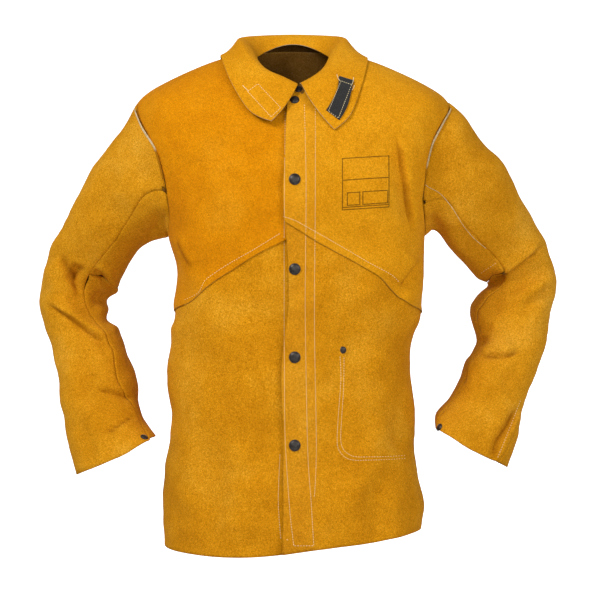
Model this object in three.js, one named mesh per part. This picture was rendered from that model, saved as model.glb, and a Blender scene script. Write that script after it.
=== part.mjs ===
// A leather welding jacket in the form it has when worn, with bent sleeves.
// Millimetres, +Z up. The jacket faces -Y and its wearer's left is +X. The origin is the neck point,
// level with the top of the shoulders, where the jacket hangs.
import * as THREE from 'three';

// Leather and seams.
const leather = 1.4;
const lapGap = 0.8;
const seamGap = 1.4;
const lapWidth = 12;

// Body, measured on the outside of the worn jacket.
const bodyLength = 727;
const neckHalfWidth = 70;
const neckFrontDrop = 50;
const neckSideRise = 10;
const neckBackRise = 22;
const shoulderHalfWidth = 232;
const shoulderDrop = 56;
const armpitDrop = 269;
const chestHalfWidth = 185;
const frontDepth = 140;
const backDepth = 130;
const sectionSquareness = 2.5;

// Closure: the left front lies over the right one.
const overlapLeftEdge = -17;
const overlapWidth = 51;
const facingInset = 2;

// Sleeves, worn bent.
const sleeveSpread = 350;
const sleeveDrop = 600;
const sleeveWidth = 110;
const elbowBack = 92;
const sleeveDepth = 68;
const sleeveSquareness = 2.25;
const underarmEase = 6;
const weltWidth = 3.2;
const weltThickness = 1.1;
const weltReach = 0.25;
const weltSeat = 0.5;

// Collar.
const collarFoldHalfWidth = 82;
const collarFoldRise = 57;
const collarDepth = 108;
const collarRoll = 4;
const collarSeat = 10;
const collarClearance = 0.8;
const wingEnd = 0.25;
const wingFade = 0.4;
const collarSettling = 1.5;

// Small parts.
const tabWidth = 18;
const tabHeight = 15;
const tabRounding = 0.3;
const tabMiddle = 9;
const tabOverhang = 6.5;
const patchSeat = 0.3;
const capSeat = 0.6;
const snapLine = 3;
const snapCount = 4;
const firstSnapDrop = 186;
const snapSpacing = 126.5;
const topSnapDrop = 73;
const snapDiameter = 17;
const snapRise = 3.4;
const smallSnapDiameter = 12;
const smallSnapRise = 2.6;
const rivetDiameter = 10.4;
const rivetRise = 2;
const cuffSnapSetback = 0.32;
const pocketLeft = 67;
const pocketMouthDrop = 424;
const rivetInset = 5;
const pocketWidth = 118;
const pocketHeight = 152;
const pocketBelly = 14;
const pocketEase = 0.8;
const patchThickness = 1.6;

// How fully the folds show on the back, and the drop from which they show at all and in full.
const backFoldShare = 0.7;
const foldsFrom = neckFrontDrop;
const foldsFull = 120;

const layer = leather + lapGap;
const quarter = (chestHalfWidth * Math.PI) / 2;

// Rows of the yoke: from the neck seam out along the shoulder, then down the armhole.
// out: way from neck to shoulder width, side: way down the shoulder seam,
// fall: way from the neck seam to the armpit level, deep: share of the body's depth.
const shoulderRows = [
  { out: 0.0, side: 0.0, fall: 0.0, deep: 0.53 },
  { out: 0.23, side: 0.12, fall: 0.12, deep: 0.67 },
  { out: 0.48, side: 0.36, fall: 0.26, deep: 0.79 },
  { out: 0.76, side: 0.68, fall: 0.4, deep: 0.88 },
  { out: 1.0, side: 1.0, fall: 0.53, deep: 0.93 },
];
// down: way from shoulder tip to armpit at the side, width: way from chest to shoulder width.
const armholeRows = [
  { fall: 0.66, down: 0.3, width: 0.86, shift: -0.01, deep: 0.965 },
  { fall: 0.8, down: 0.58, width: 0.52, shift: 0.0, deep: 0.99 },
  { fall: 0.92, down: 0.84, width: 0.22, shift: 0.01, deep: 1.0 },
  { fall: 1.0, down: 1.0, width: 0.08, shift: 0.025, deep: 1.01 },
];
// Level sections below the armpit, as shares of the body's length, half width and depths.
const trunkRows = [
  { down: 0.398, width: 0.972, shift: 0.035, front: 1.01, back: 1.0 },
  { down: 0.455, width: 0.955, shift: 0.04, front: 1.0, back: 0.95 },
  { down: 0.512, width: 0.972, shift: 0.042, front: 0.99, back: 0.92 },
  { down: 0.564, width: 0.98, shift: 0.0, front: 0.975, back: 0.905 },
  { down: 0.662, width: 0.97, shift: -0.026, front: 0.97, back: 0.91 },
  { down: 0.736, width: 0.976, shift: 0.0, front: 0.972, back: 0.93 },
  { down: 0.82, width: 1.01, shift: -0.005, front: 0.985, back: 0.96 },
  { down: 0.9, width: 1.037, shift: 0.0, front: 1.01, back: 0.995 },
  { down: 1.02, width: 1.037, shift: -0.008, front: 1.045, back: 1.05 },
];

// Broad folds of the worn body. x and down place the middle, in half widths and lengths,
// lean turns the fold from upright, long and wide are its half sizes, height its rise.
const bodyFolds = [
  { x: 0.78, down: 0.46, lean: 38, long: 52, wide: 13, height: -7 },
  { x: 0.93, down: 0.44, lean: 34, long: 44, wide: 12, height: 6 },
  { x: -0.84, down: 0.48, lean: -32, long: 44, wide: 14, height: -4 },
  { x: 0.72, down: 0.17, lean: -14, long: 68, wide: 14, height: -4 },
  { x: -0.55, down: 0.2, lean: 24, long: 80, wide: 20, height: -3 },
  { x: 0.5, down: 0.86, lean: 8, long: 90, wide: 24, height: 4 },
  { x: -0.5, down: 0.8, lean: -6, long: 110, wide: 26, height: 4 },
  { x: -0.76, down: 0.88, lean: -4, long: 80, wide: 20, height: -4 },
  { x: 0.8, down: 0.84, lean: 8, long: 80, wide: 20, height: -4 },
];

function mix(a, b, share) {
  return a + (b - a) * share;
}

function smooth(from, to, value) {
  return THREE.MathUtils.smoothstep(value, from, to);
}

function bodyRowsFrom() {
  const rows = [];
  for (const r of shoulderRows) {
    rows.push({
      frontDrop: mix(neckFrontDrop, armpitDrop, r.fall),
      sideDrop: mix(-neckSideRise, shoulderDrop, r.side),
      backDrop: mix(-neckBackRise, armpitDrop, r.fall),
      width: mix(neckHalfWidth, shoulderHalfWidth, r.out),
      shift: 0,
      front: frontDepth * r.deep,
      back: backDepth * r.deep,
    });
  }
  for (const r of armholeRows) {
    rows.push({
      frontDrop: mix(neckFrontDrop, armpitDrop, r.fall),
      sideDrop: mix(shoulderDrop, armpitDrop, r.down),
      backDrop: mix(-neckBackRise, armpitDrop, r.fall),
      width: mix(chestHalfWidth, shoulderHalfWidth, r.width),
      shift: chestHalfWidth * r.shift,
      front: frontDepth * r.deep,
      back: backDepth * r.deep,
    });
  }
  for (const r of trunkRows) {
    const drop = bodyLength * r.down;
    rows.push({
      frontDrop: drop,
      sideDrop: drop,
      backDrop: drop,
      width: chestHalfWidth * r.width,
      shift: chestHalfWidth * r.shift,
      front: frontDepth * r.front,
      back: backDepth * r.back,
    });
  }
  return rows;
}
const bodyRows = bodyRowsFrom();

// The row at any drop of the centre front, with every column read off a smooth line.
function bodyRow(drop) {
  let i = 0;
  while (i < bodyRows.length - 2 && bodyRows[i + 1].frontDrop < drop) i += 1;
  const [a, b] = [bodyRows[i], bodyRows[i + 1]];
  const before = bodyRows[Math.max(i - 1, 0)];
  const after = bodyRows[Math.min(i + 2, bodyRows.length - 1)];
  const span = b.frontDrop - a.frontDrop;
  const u = (drop - a.frontDrop) / span;
  const row = {};
  for (const key of Object.keys(a)) {
    const startSlope = ((b[key] - before[key]) / (b.frontDrop - before.frontDrop)) * span;
    const endSlope = ((after[key] - a[key]) / (after.frontDrop - a.frontDrop)) * span;
    row[key] =
      (2 * u ** 3 - 3 * u ** 2 + 1) * a[key] +
      (u ** 3 - 2 * u ** 2 + u) * startSlope +
      (3 * u ** 2 - 2 * u ** 3) * b[key] +
      (u ** 3 - u ** 2) * endSlope;
  }
  return row;
}

// A point of the body's surface. around runs from the centre front (0) over the left side (quarter)
// and the centre back (2 * quarter) to the right side (3 * quarter, which is also -quarter).
function bodyPoint(around, drop) {
  const angle = around / chestHalfWidth;
  const row = bodyRow(drop);
  const depth = Math.cos(angle) > 0 ? row.front : row.back;
  const power = sectionSquareness;
  const reach = Math.abs(Math.sin(angle) / row.width) ** power + Math.abs(Math.cos(angle) / depth) ** power;
  const radius = reach ** (-1 / power);
  const middle = Math.cos(angle) > 0 ? row.frontDrop : row.backDrop;
  const toSide = Math.sin(angle) ** 2;
  return new THREE.Vector3(
    row.shift + radius * Math.sin(angle),
    -radius * Math.cos(angle),
    -mix(middle, row.sideDrop, toSide),
  );
}

// The unit normal of a surface that maps two numbers to a point.
function normalOf(surface, u, v, step) {
  const across = surface(u + step, v).sub(surface(u - step, v));
  const along = surface(u, v + step).sub(surface(u, v - step));
  return along.cross(across).normalize();
}

function foldRise(point) {
  let rise = 0;
  for (const f of bodyFolds) {
    const dx = point.x - f.x * chestHalfWidth;
    const dz = point.z + f.down * bodyLength;
    const lean = THREE.MathUtils.degToRad(f.lean);
    const along = dz * Math.cos(lean) + dx * Math.sin(lean);
    const off = dx * Math.cos(lean) - dz * Math.sin(lean);
    const share = point.y < 0 ? 1 : backFoldShare;
    rise += share * f.height * Math.exp(-((along / f.long) ** 2) - (off / f.wide) ** 2);
  }
  return rise * smooth(foldsFrom, foldsFull, -point.z);
}

function onBody(around, drop, lift) {
  const point = bodyPoint(around, drop);
  const outward = normalOf(bodyPoint, around, drop, 0.5);
  return point.addScaledVector(outward, foldRise(point) + lift);
}

// Finds where a surface passes a place of the front view, from a first guess. step is a small
// change of the surface's two numbers, reach the most that they change at a time.
const bodyPinning = { step: 0.2, reach: 25 };
const collarPinning = { step: 0.002, reach: 0.1 };
function pin(surface, x, z, guess, limit, { step, reach }) {
  let [u, v] = guess;
  for (let turn = 0; turn < 40; turn += 1) {
    const here = surface(u, v);
    const du = surface(u + step, v).sub(here).divideScalar(step);
    const dv = surface(u, v + step).sub(here).divideScalar(step);
    const det = du.x * dv.z - du.z * dv.x;
    const [ex, ez] = [x - here.x, z - here.z];
    const su = (ex * dv.z - ez * dv.x) / det;
    const sv = (ez * du.x - ex * du.z) / det;
    const short = Math.min(1, reach / Math.hypot(su, sv));
    u = THREE.MathUtils.clamp(u + su * short, ...limit);
    v += sv * short;
  }
  return [u, v];
}

const frontLimit = [-quarter, quarter];

function pinFront(x, z) {
  return pin(bodyPoint, x, z, [x, Math.max(-z, 2 * neckFrontDrop)], frontLimit, bodyPinning);
}

function pinBack(x, z) {
  const guess = [2 * quarter - x, Math.max(-z, 2 * neckFrontDrop)];
  return pin(bodyPoint, x, z, guess, [quarter, 3 * quarter], bodyPinning);
}

// A run is a smooth line on the body from one share to the next, through [around, drop] points.
function run(points) {
  const curve = new THREE.SplineCurve(points.map(([around, drop]) => new THREE.Vector2(around, drop)));
  return (share) => curve.getPointAt(THREE.MathUtils.clamp(share, 0, 1)).toArray();
}

// Joins runs end to end. breaks holds the shares at which one run gives way to the next.
function chain(runs, breaks) {
  const ends = [0, ...breaks, 1];
  return (share) => {
    let i = 0;
    while (i < breaks.length && share > ends[i + 1] + 1e-9) i += 1;
    return runs[i]((share - ends[i]) / (ends[i + 1] - ends[i]));
  };
}

// Fills the space between four edges: top and bottom run across, first and last run down.
function panel(top, bottom, first, last) {
  const corners = [top(0), top(1), bottom(0), bottom(1)];
  return (s, t) =>
    [0, 1].map(
      (k) =>
        mix(top(s)[k], bottom(s)[k], t) +
        mix(first(t)[k], last(t)[k], s) -
        mix(mix(corners[0][k], corners[1][k], s), mix(corners[2][k], corners[3][k], s), t),
    );
}

// The same patch with its inner grid points moved until the grid follows its edges smoothly and no
// cell folds over, even where an edge curves into the patch.
function relaxed(patch, across, down) {
  const grid = [];
  for (let j = 0; j <= down; j += 1) {
    grid.push([]);
    for (let i = 0; i <= across; i += 1) {
      grid[j].push(new THREE.Vector2(...patch(i / across, j / down)));
    }
  }
  for (let pass = 0; pass < relaxPasses; pass += 1) {
    for (let j = 1; j < down; j += 1) {
      for (let i = 1; i < across; i += 1) {
        const [above, here, below] = [grid[j - 1], grid[j], grid[j + 1]];
        const sideways = here[i + 1].clone().sub(here[i - 1]).divideScalar(2);
        const downwards = below[i].clone().sub(above[i]).divideScalar(2);
        const [a, c] = [downwards.lengthSq(), sideways.lengthSq()];
        const twist = below[i + 1].clone().sub(above[i + 1]).sub(below[i - 1]).add(above[i - 1]);
        here[i] = new THREE.Vector2()
          .addScaledVector(here[i + 1].clone().add(here[i - 1]), a)
          .addScaledVector(below[i].clone().add(above[i]), c)
          .addScaledVector(twist, -sideways.dot(downwards) / 2)
          .divideScalar(2 * (a + c));
      }
    }
  }
  return (s, t) => grid[Math.round(t * down)][Math.round(s * across)].toArray();
}

// A strip between two runs.
function strip(top, bottom) {
  return (s, t) => [0, 1].map((k) => mix(top(s)[k], bottom(s)[k], t));
}

// Puts one patch above another. share is where the lower one begins.
function stack(upper, lower, share) {
  return (s, t) => (t <= share + 1e-9 ? upper(s, t / share) : lower(s, (t - share) / (1 - share)));
}

// Puts one patch beside another. share is where the second one begins.
function beside(first, second, share) {
  return (s, t) => (s <= share + 1e-9 ? first(s / share, t) : second((s - share) / (1 - share), t));
}

// Turns a geometry's faces round if they point inwards.
function facingOut(geometry) {
  const at = geometry.getAttribute('position');
  const order = Array.from(geometry.getIndex().array);
  const corner = [0, 1, 2].map(() => new THREE.Vector3());
  let volume = 0;
  for (let i = 0; i < order.length; i += 3) {
    corner.forEach((point, k) => point.fromBufferAttribute(at, order[i + k]));
    volume += corner[0].dot(corner[1].cross(corner[2]));
  }
  if (volume < 0) {
    for (let i = 0; i < order.length; i += 3) {
      [order[i + 1], order[i + 2]] = [order[i + 2], order[i + 1]];
    }
    geometry.setIndex(order);
  }
  geometry.computeVertexNormals();
  return geometry;
}

// A sheet of even thickness on a grid of cells. place(s, t, face) gives its point at a share across
// and down, with face 0 on the inner side and 1 on the outer one.
function sheet(place, across, down) {
  const points = [];
  const order = [];
  const at = (i, j, face) => 2 * (j * (across + 1) + i) + face;
  for (let j = 0; j <= down; j += 1) {
    for (let i = 0; i <= across; i += 1) {
      for (const face of [0, 1]) points.push(...place(i / across, j / down, face).toArray());
    }
  }
  const quad = (a, b, c, d) => order.push(a, b, c, a, c, d);
  for (let j = 0; j < down; j += 1) {
    for (let i = 0; i < across; i += 1) {
      quad(at(i, j, 1), at(i, j + 1, 1), at(i + 1, j + 1, 1), at(i + 1, j, 1));
      order.push(at(i, j, 0), at(i + 1, j + 1, 0), at(i, j + 1, 0));
      order.push(at(i, j, 0), at(i + 1, j, 0), at(i + 1, j + 1, 0));
    }
    quad(at(0, j, 0), at(0, j + 1, 0), at(0, j + 1, 1), at(0, j, 1));
    quad(at(across, j, 1), at(across, j + 1, 1), at(across, j + 1, 0), at(across, j, 0));
  }
  for (let i = 0; i < across; i += 1) {
    quad(at(i, 0, 0), at(i, 0, 1), at(i + 1, 0, 1), at(i + 1, 0, 0));
    quad(at(i, down, 1), at(i, down, 0), at(i + 1, down, 0), at(i + 1, down, 1));
  }
  const geometry = new THREE.BufferGeometry();
  geometry.setAttribute('position', new THREE.Float32BufferAttribute(points, 3));
  geometry.setIndex(order);
  return facingOut(geometry);
}

const suede = { color: 0xd9931a, roughness: 0.95, metalness: 0 };
const creamEdge = { color: 0xe8d6a8, roughness: 0.9, metalness: 0 };
const darkMetal = { color: 0x3b332d, roughness: 0.35, metalness: 0.8 };
const hookCloth = { color: 0x14120f, roughness: 0.9, metalness: 0 };

const jacket = new THREE.Group();

function add(name, geometry, finish) {
  const mesh = new THREE.Mesh(geometry, new THREE.MeshStandardMaterial(finish));
  mesh.name = name;
  jacket.add(mesh);
}

// Grid cells of the body's pieces: columns over the overlap and beside it, rows along the shoulder,
// the armhole and the side of a yoke, and rows below the lap of the yoke.
const overlapColumns = 3;
const sideColumns = 9;
const shoulderCells = 4;
const armholeCells = 8;
const sideCells = 3;
const yokeRows = shoulderCells + armholeCells + sideCells;
const panelRows = 11;
const backColumns = 18;
const relaxPasses = 200;

// Layers over the body surface, counted from the right front panel outwards.
const layers = { facing: -1, panel: 0, yoke: 1, overlap: 3 };

// How far the left front is raised by the right front beneath it. It comes down again beside it.
const overlapEase = { from: 3, to: 55 };
function overlapRise(around) {
  const past = around - overlapLeftEdge - overlapWidth;
  return layers.overlap * layer * (1 - smooth(overlapEase.from, overlapEase.to, past));
}

function bodySheet(name, patch, level, rise, across, down) {
  const place = (s, t, face) => {
    const [around, drop] = patch(s, t);
    return onBody(around, drop, level * layer + rise(around) + face * leather);
  };
  add(name, sheet(place, across, down), suede);
}

// Seam lines in the front view: x in chest half widths, z in body lengths.
const rightYokeSeam = [
  [-0.22, -0.392],
  [-0.34, -0.41],
  [-0.5, -0.437],
  [-0.62, -0.454],
  [-0.67, -0.467],
  [-0.7, -0.485],
  [-0.84, -0.503],
];
const leftYokeSeam = [
  [0.3, -0.391],
  [0.5, -0.418],
  [0.71, -0.45],
  [0.775, -0.468],
  [0.82, -0.489],
  [0.92, -0.503],
];
const yokeSideDrop = 0.517;
const backYokeDrop = 0.53;
const rightArmhole = [
  [-0.853, -0.5],
  [-0.831, -0.55],
  [-0.785, -0.74],
  [-0.76, -0.85],
  [-0.785, -0.935],
];
const leftArmhole = [
  [0.889, -0.416],
  [0.834, -0.591],
  [0.795, -0.76],
  [0.812, -0.85],
  [0.835, -0.93],
];
const overlapSeamDrops = { inner: 0.337, outer: 0.373 };
const backHemDrop = 0.985;
const backArmholeWider = 1.015;
const armholeTopTurn = 0.1;
const hemLine = [
  [-1.0, -0.991],
  [-0.88, -0.997],
  [-0.62, -1.0],
  [-0.34, -1.0],
  [0.0, -0.991],
  [0.24, -0.984],
  [0.5, -0.976],
  [0.75, -0.968],
  [0.93, -0.961],
];

function seamPoints(table, side) {
  return table.map(([x, z]) => side(x * chestHalfWidth, z * bodyLength));
}

// The drop of the centre front at which the side of the body has come down to a given drop.
function rowWhereSideIs(drop) {
  let [low, high] = [neckFrontDrop, bodyLength];
  for (let i = 0; i < 40; i += 1) {
    const middle = (low + high) / 2;
    if (bodyRow(middle).sideDrop < drop) low = middle;
    else high = middle;
  }
  return low;
}
const tipRow = rowWhereSideIs(shoulderDrop);
const armpitRow = rowWhereSideIs(armpitDrop);

// Where the edge of a front or back piece lies at the side of the body. sign is 1 on the left.
function sideEdge(sign, over) {
  const front = sign * (quarter - seamGap / 2);
  return over === 'front' ? front : 2 * quarter - front;
}

// The line of one armhole, from the shoulder tip to the armpit, over the front or the back.
// The table's points are shares of the shoulder's half width and the armpit's drop.
function armholeRun(sign, over) {
  const table = sign < 0 ? rightArmhole : leftArmhole;
  const front = over === 'front';
  const edge = sideEdge(sign, over);
  const pinned = table.map(([x, z]) => {
    const [wide, high] = [x * shoulderHalfWidth, z * armpitDrop];
    return front ? pinFront(wide, high) : pinBack(wide * backArmholeWider, high);
  });
  const inwards = sign * quarter * (front ? -armholeTopTurn : armholeTopTurn);
  const upper = [edge + inwards, mix(tipRow, armpitRow, armholeTopTurn)];
  return run([[edge, tipRow], upper, ...pinned, [edge, armpitRow]]);
}

function straightRun(from, to) {
  return run([from, [mix(from[0], to[0], 0.5), mix(from[1], to[1], 0.5)], to]);
}

// The outer edge of a yoke piece: down the shoulder seam, the armhole and the side seam.
function yokeSide(sign, over) {
  const edge = sideEdge(sign, over);
  const shoulder = straightRun([edge, neckFrontDrop], [edge, tipRow]);
  const side = straightRun([edge, armpitRow], [edge, yokeSideDrop * bodyLength - lapWidth]);
  const breaks = [shoulderCells / yokeRows, (shoulderCells + armholeCells) / yokeRows];
  return chain([shoulder, armholeRun(sign, over), side], breaks);
}

// The two ends of the overlap across the centre front, first the free edge of the front asked for.
// The right front lies beneath, the left one on top.
function overlapEnds(sign) {
  const ends = [overlapLeftEdge, overlapLeftEdge + overlapWidth];
  return sign < 0 ? ends.reverse() : ends;
}

function hemDrop(x) {
  let i = 0;
  while (i < hemLine.length - 2 && hemLine[i + 1][0] * chestHalfWidth < x) i += 1;
  const [a, b] = [hemLine[i], hemLine[i + 1]];
  return -bodyLength * mix(a[1], b[1], (x / chestHalfWidth - a[0]) / (b[0] - a[0]));
}

// The yoke's lower edge on one front, outside the overlap. raise moves it up, for the top edge of
// the panel beneath it.
function yokeBottom(sign, raise) {
  const points = [
    [overlapEnds(sign)[1], overlapSeamDrops.outer * bodyLength],
    ...seamPoints(sign < 0 ? rightYokeSeam : leftYokeSeam, pinFront),
    [sideEdge(sign, 'front'), yokeSideDrop * bodyLength],
  ];
  const line = run(points);
  return (share) => {
    const [around, drop] = line(share);
    return [around, drop - raise];
  };
}

// The same edge where the fronts overlap.
function overlapBottom(sign, raise) {
  const [edge, end] = overlapEnds(sign);
  const { inner, outer } = overlapSeamDrops;
  return straightRun([edge, inner * bodyLength - raise], [end, outer * bodyLength - raise]);
}

function frontYoke(name, sign, rise) {
  const [edge, end] = overlapEnds(sign);
  const side = sideEdge(sign, 'front');
  const top = straightRun([end, neckFrontDrop], [side, neckFrontDrop]);
  const lapTop = yokeBottom(sign, lapWidth);
  const inner = straightRun([end, neckFrontDrop], lapTop(0));
  const chest = relaxed(panel(top, lapTop, inner, yokeSide(sign, 'front')), sideColumns, yokeRows);
  const closing = strip(
    straightRun([edge, neckFrontDrop], [end, neckFrontDrop]),
    overlapBottom(sign, lapWidth),
  );
  const share = overlapColumns / (overlapColumns + sideColumns);
  const upper = beside(closing, chest, share);
  const lap = beside(
    strip(overlapBottom(sign, lapWidth), overlapBottom(sign, 0)),
    strip(lapTop, yokeBottom(sign, 0)),
    share,
  );
  const rows = yokeRows / (yokeRows + 1);
  const columns = overlapColumns + sideColumns;
  bodySheet(name, stack(upper, lap, rows), layers.yoke, rise, columns, yokeRows + 1);
}

// Hem points too near the overlap or the side seam are left out of a front's hem.
const hemClear = 15;
const hemReach = 0.97;

function frontPanel(name, sign, rise) {
  const [edge, end] = overlapEnds(sign);
  const side = sideEdge(sign, 'front');
  const top = yokeBottom(sign, 0);
  const between = hemLine.filter(
    ([x]) => sign * (x * chestHalfWidth - end) > hemClear && Math.abs(x) < hemReach,
  );
  const points = between.map(([x, z]) => pinFront(x * chestHalfWidth, z * bodyLength));
  if (sign < 0) points.reverse();
  const hem = run([[end, hemDrop(end)], ...points, [side, hemDrop(sign * chestHalfWidth)]]);
  const wide = panel(top, hem, straightRun(top(0), hem(0)), straightRun(top(1), hem(1)));
  const overlapHem = straightRun([edge, hemDrop(edge)], [end, hemDrop(end)]);
  const closing = strip(overlapBottom(sign, 0), overlapHem);
  const columns = overlapColumns + sideColumns;
  const share = overlapColumns / columns;
  const lap = beside(
    strip(overlapBottom(sign, lapWidth), overlapBottom(sign, 0)),
    strip(yokeBottom(sign, lapWidth), top),
    share,
  );
  const patch = stack(lap, beside(closing, wide, share), 1 / (panelRows + 1));
  bodySheet(name, patch, layers.panel, rise, columns, panelRows + 1);
}

// The two back pieces cross the centre back in one, from the left side to the right.
function backSeam(raise) {
  const [left, right] = [sideEdge(1, 'back'), sideEdge(-1, 'back')];
  return run([
    [left, yokeSideDrop * bodyLength - raise],
    [mix(left, right, 0.25), backYokeDrop * bodyLength - raise],
    [mix(left, right, 0.75), backYokeDrop * bodyLength - raise],
    [right, yokeSideDrop * bodyLength - raise],
  ]);
}

function backYoke() {
  const [left, right] = [sideEdge(1, 'back'), sideEdge(-1, 'back')];
  const top = straightRun([left, neckFrontDrop], [right, neckFrontDrop]);
  const edges = [yokeSide(1, 'back'), yokeSide(-1, 'back')];
  const upper = relaxed(panel(top, backSeam(lapWidth), ...edges), backColumns, yokeRows);
  const lap = strip(backSeam(lapWidth), backSeam(0));
  const patch = stack(upper, lap, yokeRows / (yokeRows + 1));
  bodySheet('back_yoke', patch, layers.yoke, flat, backColumns, yokeRows + 1);
}

function backPanel() {
  const top = backSeam(0);
  const [left, right] = [top(0)[0], top(1)[0]];
  const hem = run([
    [left, hemDrop(chestHalfWidth)],
    [mix(left, right, 0.25), backHemDrop * bodyLength],
    [mix(left, right, 0.75), backHemDrop * bodyLength],
    [right, hemDrop(-chestHalfWidth)],
  ]);
  const lower = panel(top, hem, straightRun(top(0), hem(0)), straightRun(top(1), hem(1)));
  const lap = strip(backSeam(lapWidth), top);
  const patch = stack(lap, lower, 1 / (panelRows + 1));
  bodySheet('back_panel', patch, layers.panel, flat, backColumns, panelRows + 1);
}

// The doubled strip behind each front edge.
function facing(name, level) {
  const left = overlapLeftEdge + facingInset;
  const right = overlapLeftEdge + overlapWidth - facingInset;
  const seamDrop = (bodyLength * (overlapSeamDrops.inner + overlapSeamDrops.outer)) / 2;
  const neck = straightRun([left, neckFrontDrop], [right, neckFrontDrop]);
  const seam = straightRun([left, seamDrop], [right, seamDrop]);
  const hem = straightRun([left, hemDrop(left) - facingInset], [right, hemDrop(right) - facingInset]);
  const upper = strip(neck, seam);
  const lower = strip(seam, hem);
  const rows = yokeRows + 1 + panelRows;
  bodySheet(name, stack(upper, lower, (yokeRows + 1) / rows), level, flat, overlapColumns, rows);
}

const flat = () => 0;
frontYoke('right_front_yoke', -1, flat);
frontYoke('left_front_yoke', 1, overlapRise);
frontPanel('right_front_panel', -1, flat);
frontPanel('left_front_panel', 1, overlapRise);
backYoke();
backPanel();
facing('right_front_facing', layers.facing);
facing('left_front_facing', layers.overlap - 1);

// Sleeves. One ring a row, from the armhole to the cuff. out and down place its middle, in shares
// of the spread and drop, tilt turns its wide axis from level, width and back are shares of the
// sleeve's width and of the elbow's set back. front and rear are the places of its two long
// seams round the ring: 0 outer side, 0.25 front, 0.5 inner side, 0.75 rear.
const sleeveRings = {
  right: [
    { out: 0.628, down: 0.286, tilt: 68, width: 1.6, back: 0.05, front: 0.282, rear: 0.72 },
    { out: 0.699, down: 0.332, tilt: 61, width: 1.37, back: 0.16, front: 0.298, rear: 0.73 },
    { out: 0.768, down: 0.376, tilt: 52, width: 1.22, back: 0.33, front: 0.315, rear: 0.74 },
    { out: 0.826, down: 0.426, tilt: 40, width: 1.15, back: 0.52, front: 0.315, rear: 0.75 },
    { out: 0.875, down: 0.473, tilt: 31, width: 1.13, back: 0.74, front: 0.298, rear: 0.75 },
    { out: 0.925, down: 0.526, tilt: 21, width: 1.02, back: 0.93, front: 0.285, rear: 0.75 },
    { out: 0.948, down: 0.569, tilt: 12, width: 0.94, back: 1.0, front: 0.29, rear: 0.75 },
    { out: 0.969, down: 0.601, tilt: 9, width: 0.95, back: 1.0, front: 0.335, rear: 0.76 },
    { out: 0.956, down: 0.639, tilt: 11, width: 0.99, back: 0.96, front: 0.36, rear: 0.77 },
    { out: 0.919, down: 0.688, tilt: 6, width: 1.05, back: 0.85, front: 0.366, rear: 0.78 },
    { out: 0.881, down: 0.743, tilt: 6, width: 1.1, back: 0.7, front: 0.352, rear: 0.79 },
    { out: 0.849, down: 0.802, tilt: 8, width: 1.11, back: 0.52, front: 0.335, rear: 0.8 },
    { out: 0.839, down: 0.857, tilt: 0, width: 1.02, back: 0.3, front: 0.42, rear: 0.82 },
    { out: 0.802, down: 0.911, tilt: -6, width: 1.09, back: 0.09, front: 0.43, rear: 0.84 },
    { out: 0.753, down: 0.981, tilt: -26, width: 1.18, back: -0.22, front: 0.425, rear: 0.86 },
  ],
  left: [
    { out: 0.667, down: 0.265, tilt: 77, width: 1.6, back: 0.05, front: 0.322, rear: 0.72 },
    { out: 0.735, down: 0.317, tilt: 73, width: 1.54, back: 0.16, front: 0.333, rear: 0.73 },
    { out: 0.804, down: 0.36, tilt: 68, width: 1.46, back: 0.33, front: 0.337, rear: 0.74 },
    { out: 0.865, down: 0.407, tilt: 63, width: 1.31, back: 0.52, front: 0.33, rear: 0.75 },
    { out: 0.919, down: 0.449, tilt: 56, width: 1.21, back: 0.74, front: 0.316, rear: 0.75 },
    { out: 0.969, down: 0.486, tilt: 44, width: 1.07, back: 0.91, front: 0.316, rear: 0.75 },
    { out: 1.002, down: 0.525, tilt: 24, width: 0.99, back: 1.0, front: 0.34, rear: 0.75 },
    { out: 0.995, down: 0.558, tilt: 12, width: 1.12, back: 1.0, front: 0.38, rear: 0.76 },
    { out: 0.974, down: 0.604, tilt: 7, width: 1.19, back: 0.93, front: 0.42, rear: 0.78 },
    { out: 0.961, down: 0.656, tilt: 3, width: 1.11, back: 0.83, front: 0.43, rear: 0.81 },
    { out: 0.958, down: 0.702, tilt: -1, width: 0.95, back: 0.72, front: 0.42, rear: 0.85 },
    { out: 0.915, down: 0.755, tilt: -2, width: 0.97, back: 0.57, front: 0.42, rear: 0.9 },
    { out: 0.872, down: 0.803, tilt: -4, width: 0.97, back: 0.41, front: 0.41, rear: 0.97 },
    { out: 0.835, down: 0.852, tilt: -5, width: 1.0, back: 0.24, front: 0.42, rear: 1.06 },
    { out: 0.781, down: 0.901, tilt: -12, width: 1.12, back: 0.02, front: 0.43, rear: 1.11 },
    { out: 0.753, down: 0.961, tilt: -29, width: 1.09, back: -0.22, front: 0.43, rear: 1.14 },
  ],
};
const elbowRing = 6;
const sleeveTopColumns = 9;
const sleeveUnderColumns = 8;
// A sleeve's depth is a share of sleeveDepth that grows with the ring's width.
const narrowDepth = 0.6;
const depthPerWidth = 0.3;
// How far the welt reaches over the body and over the sleeve, in its own widths.
const weltSpan = { body: -0.85, sleeve: 0.15 };
// The rings over which the folds set in below the armhole.
const foldRings = { from: 0.5, to: 2 };

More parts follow.
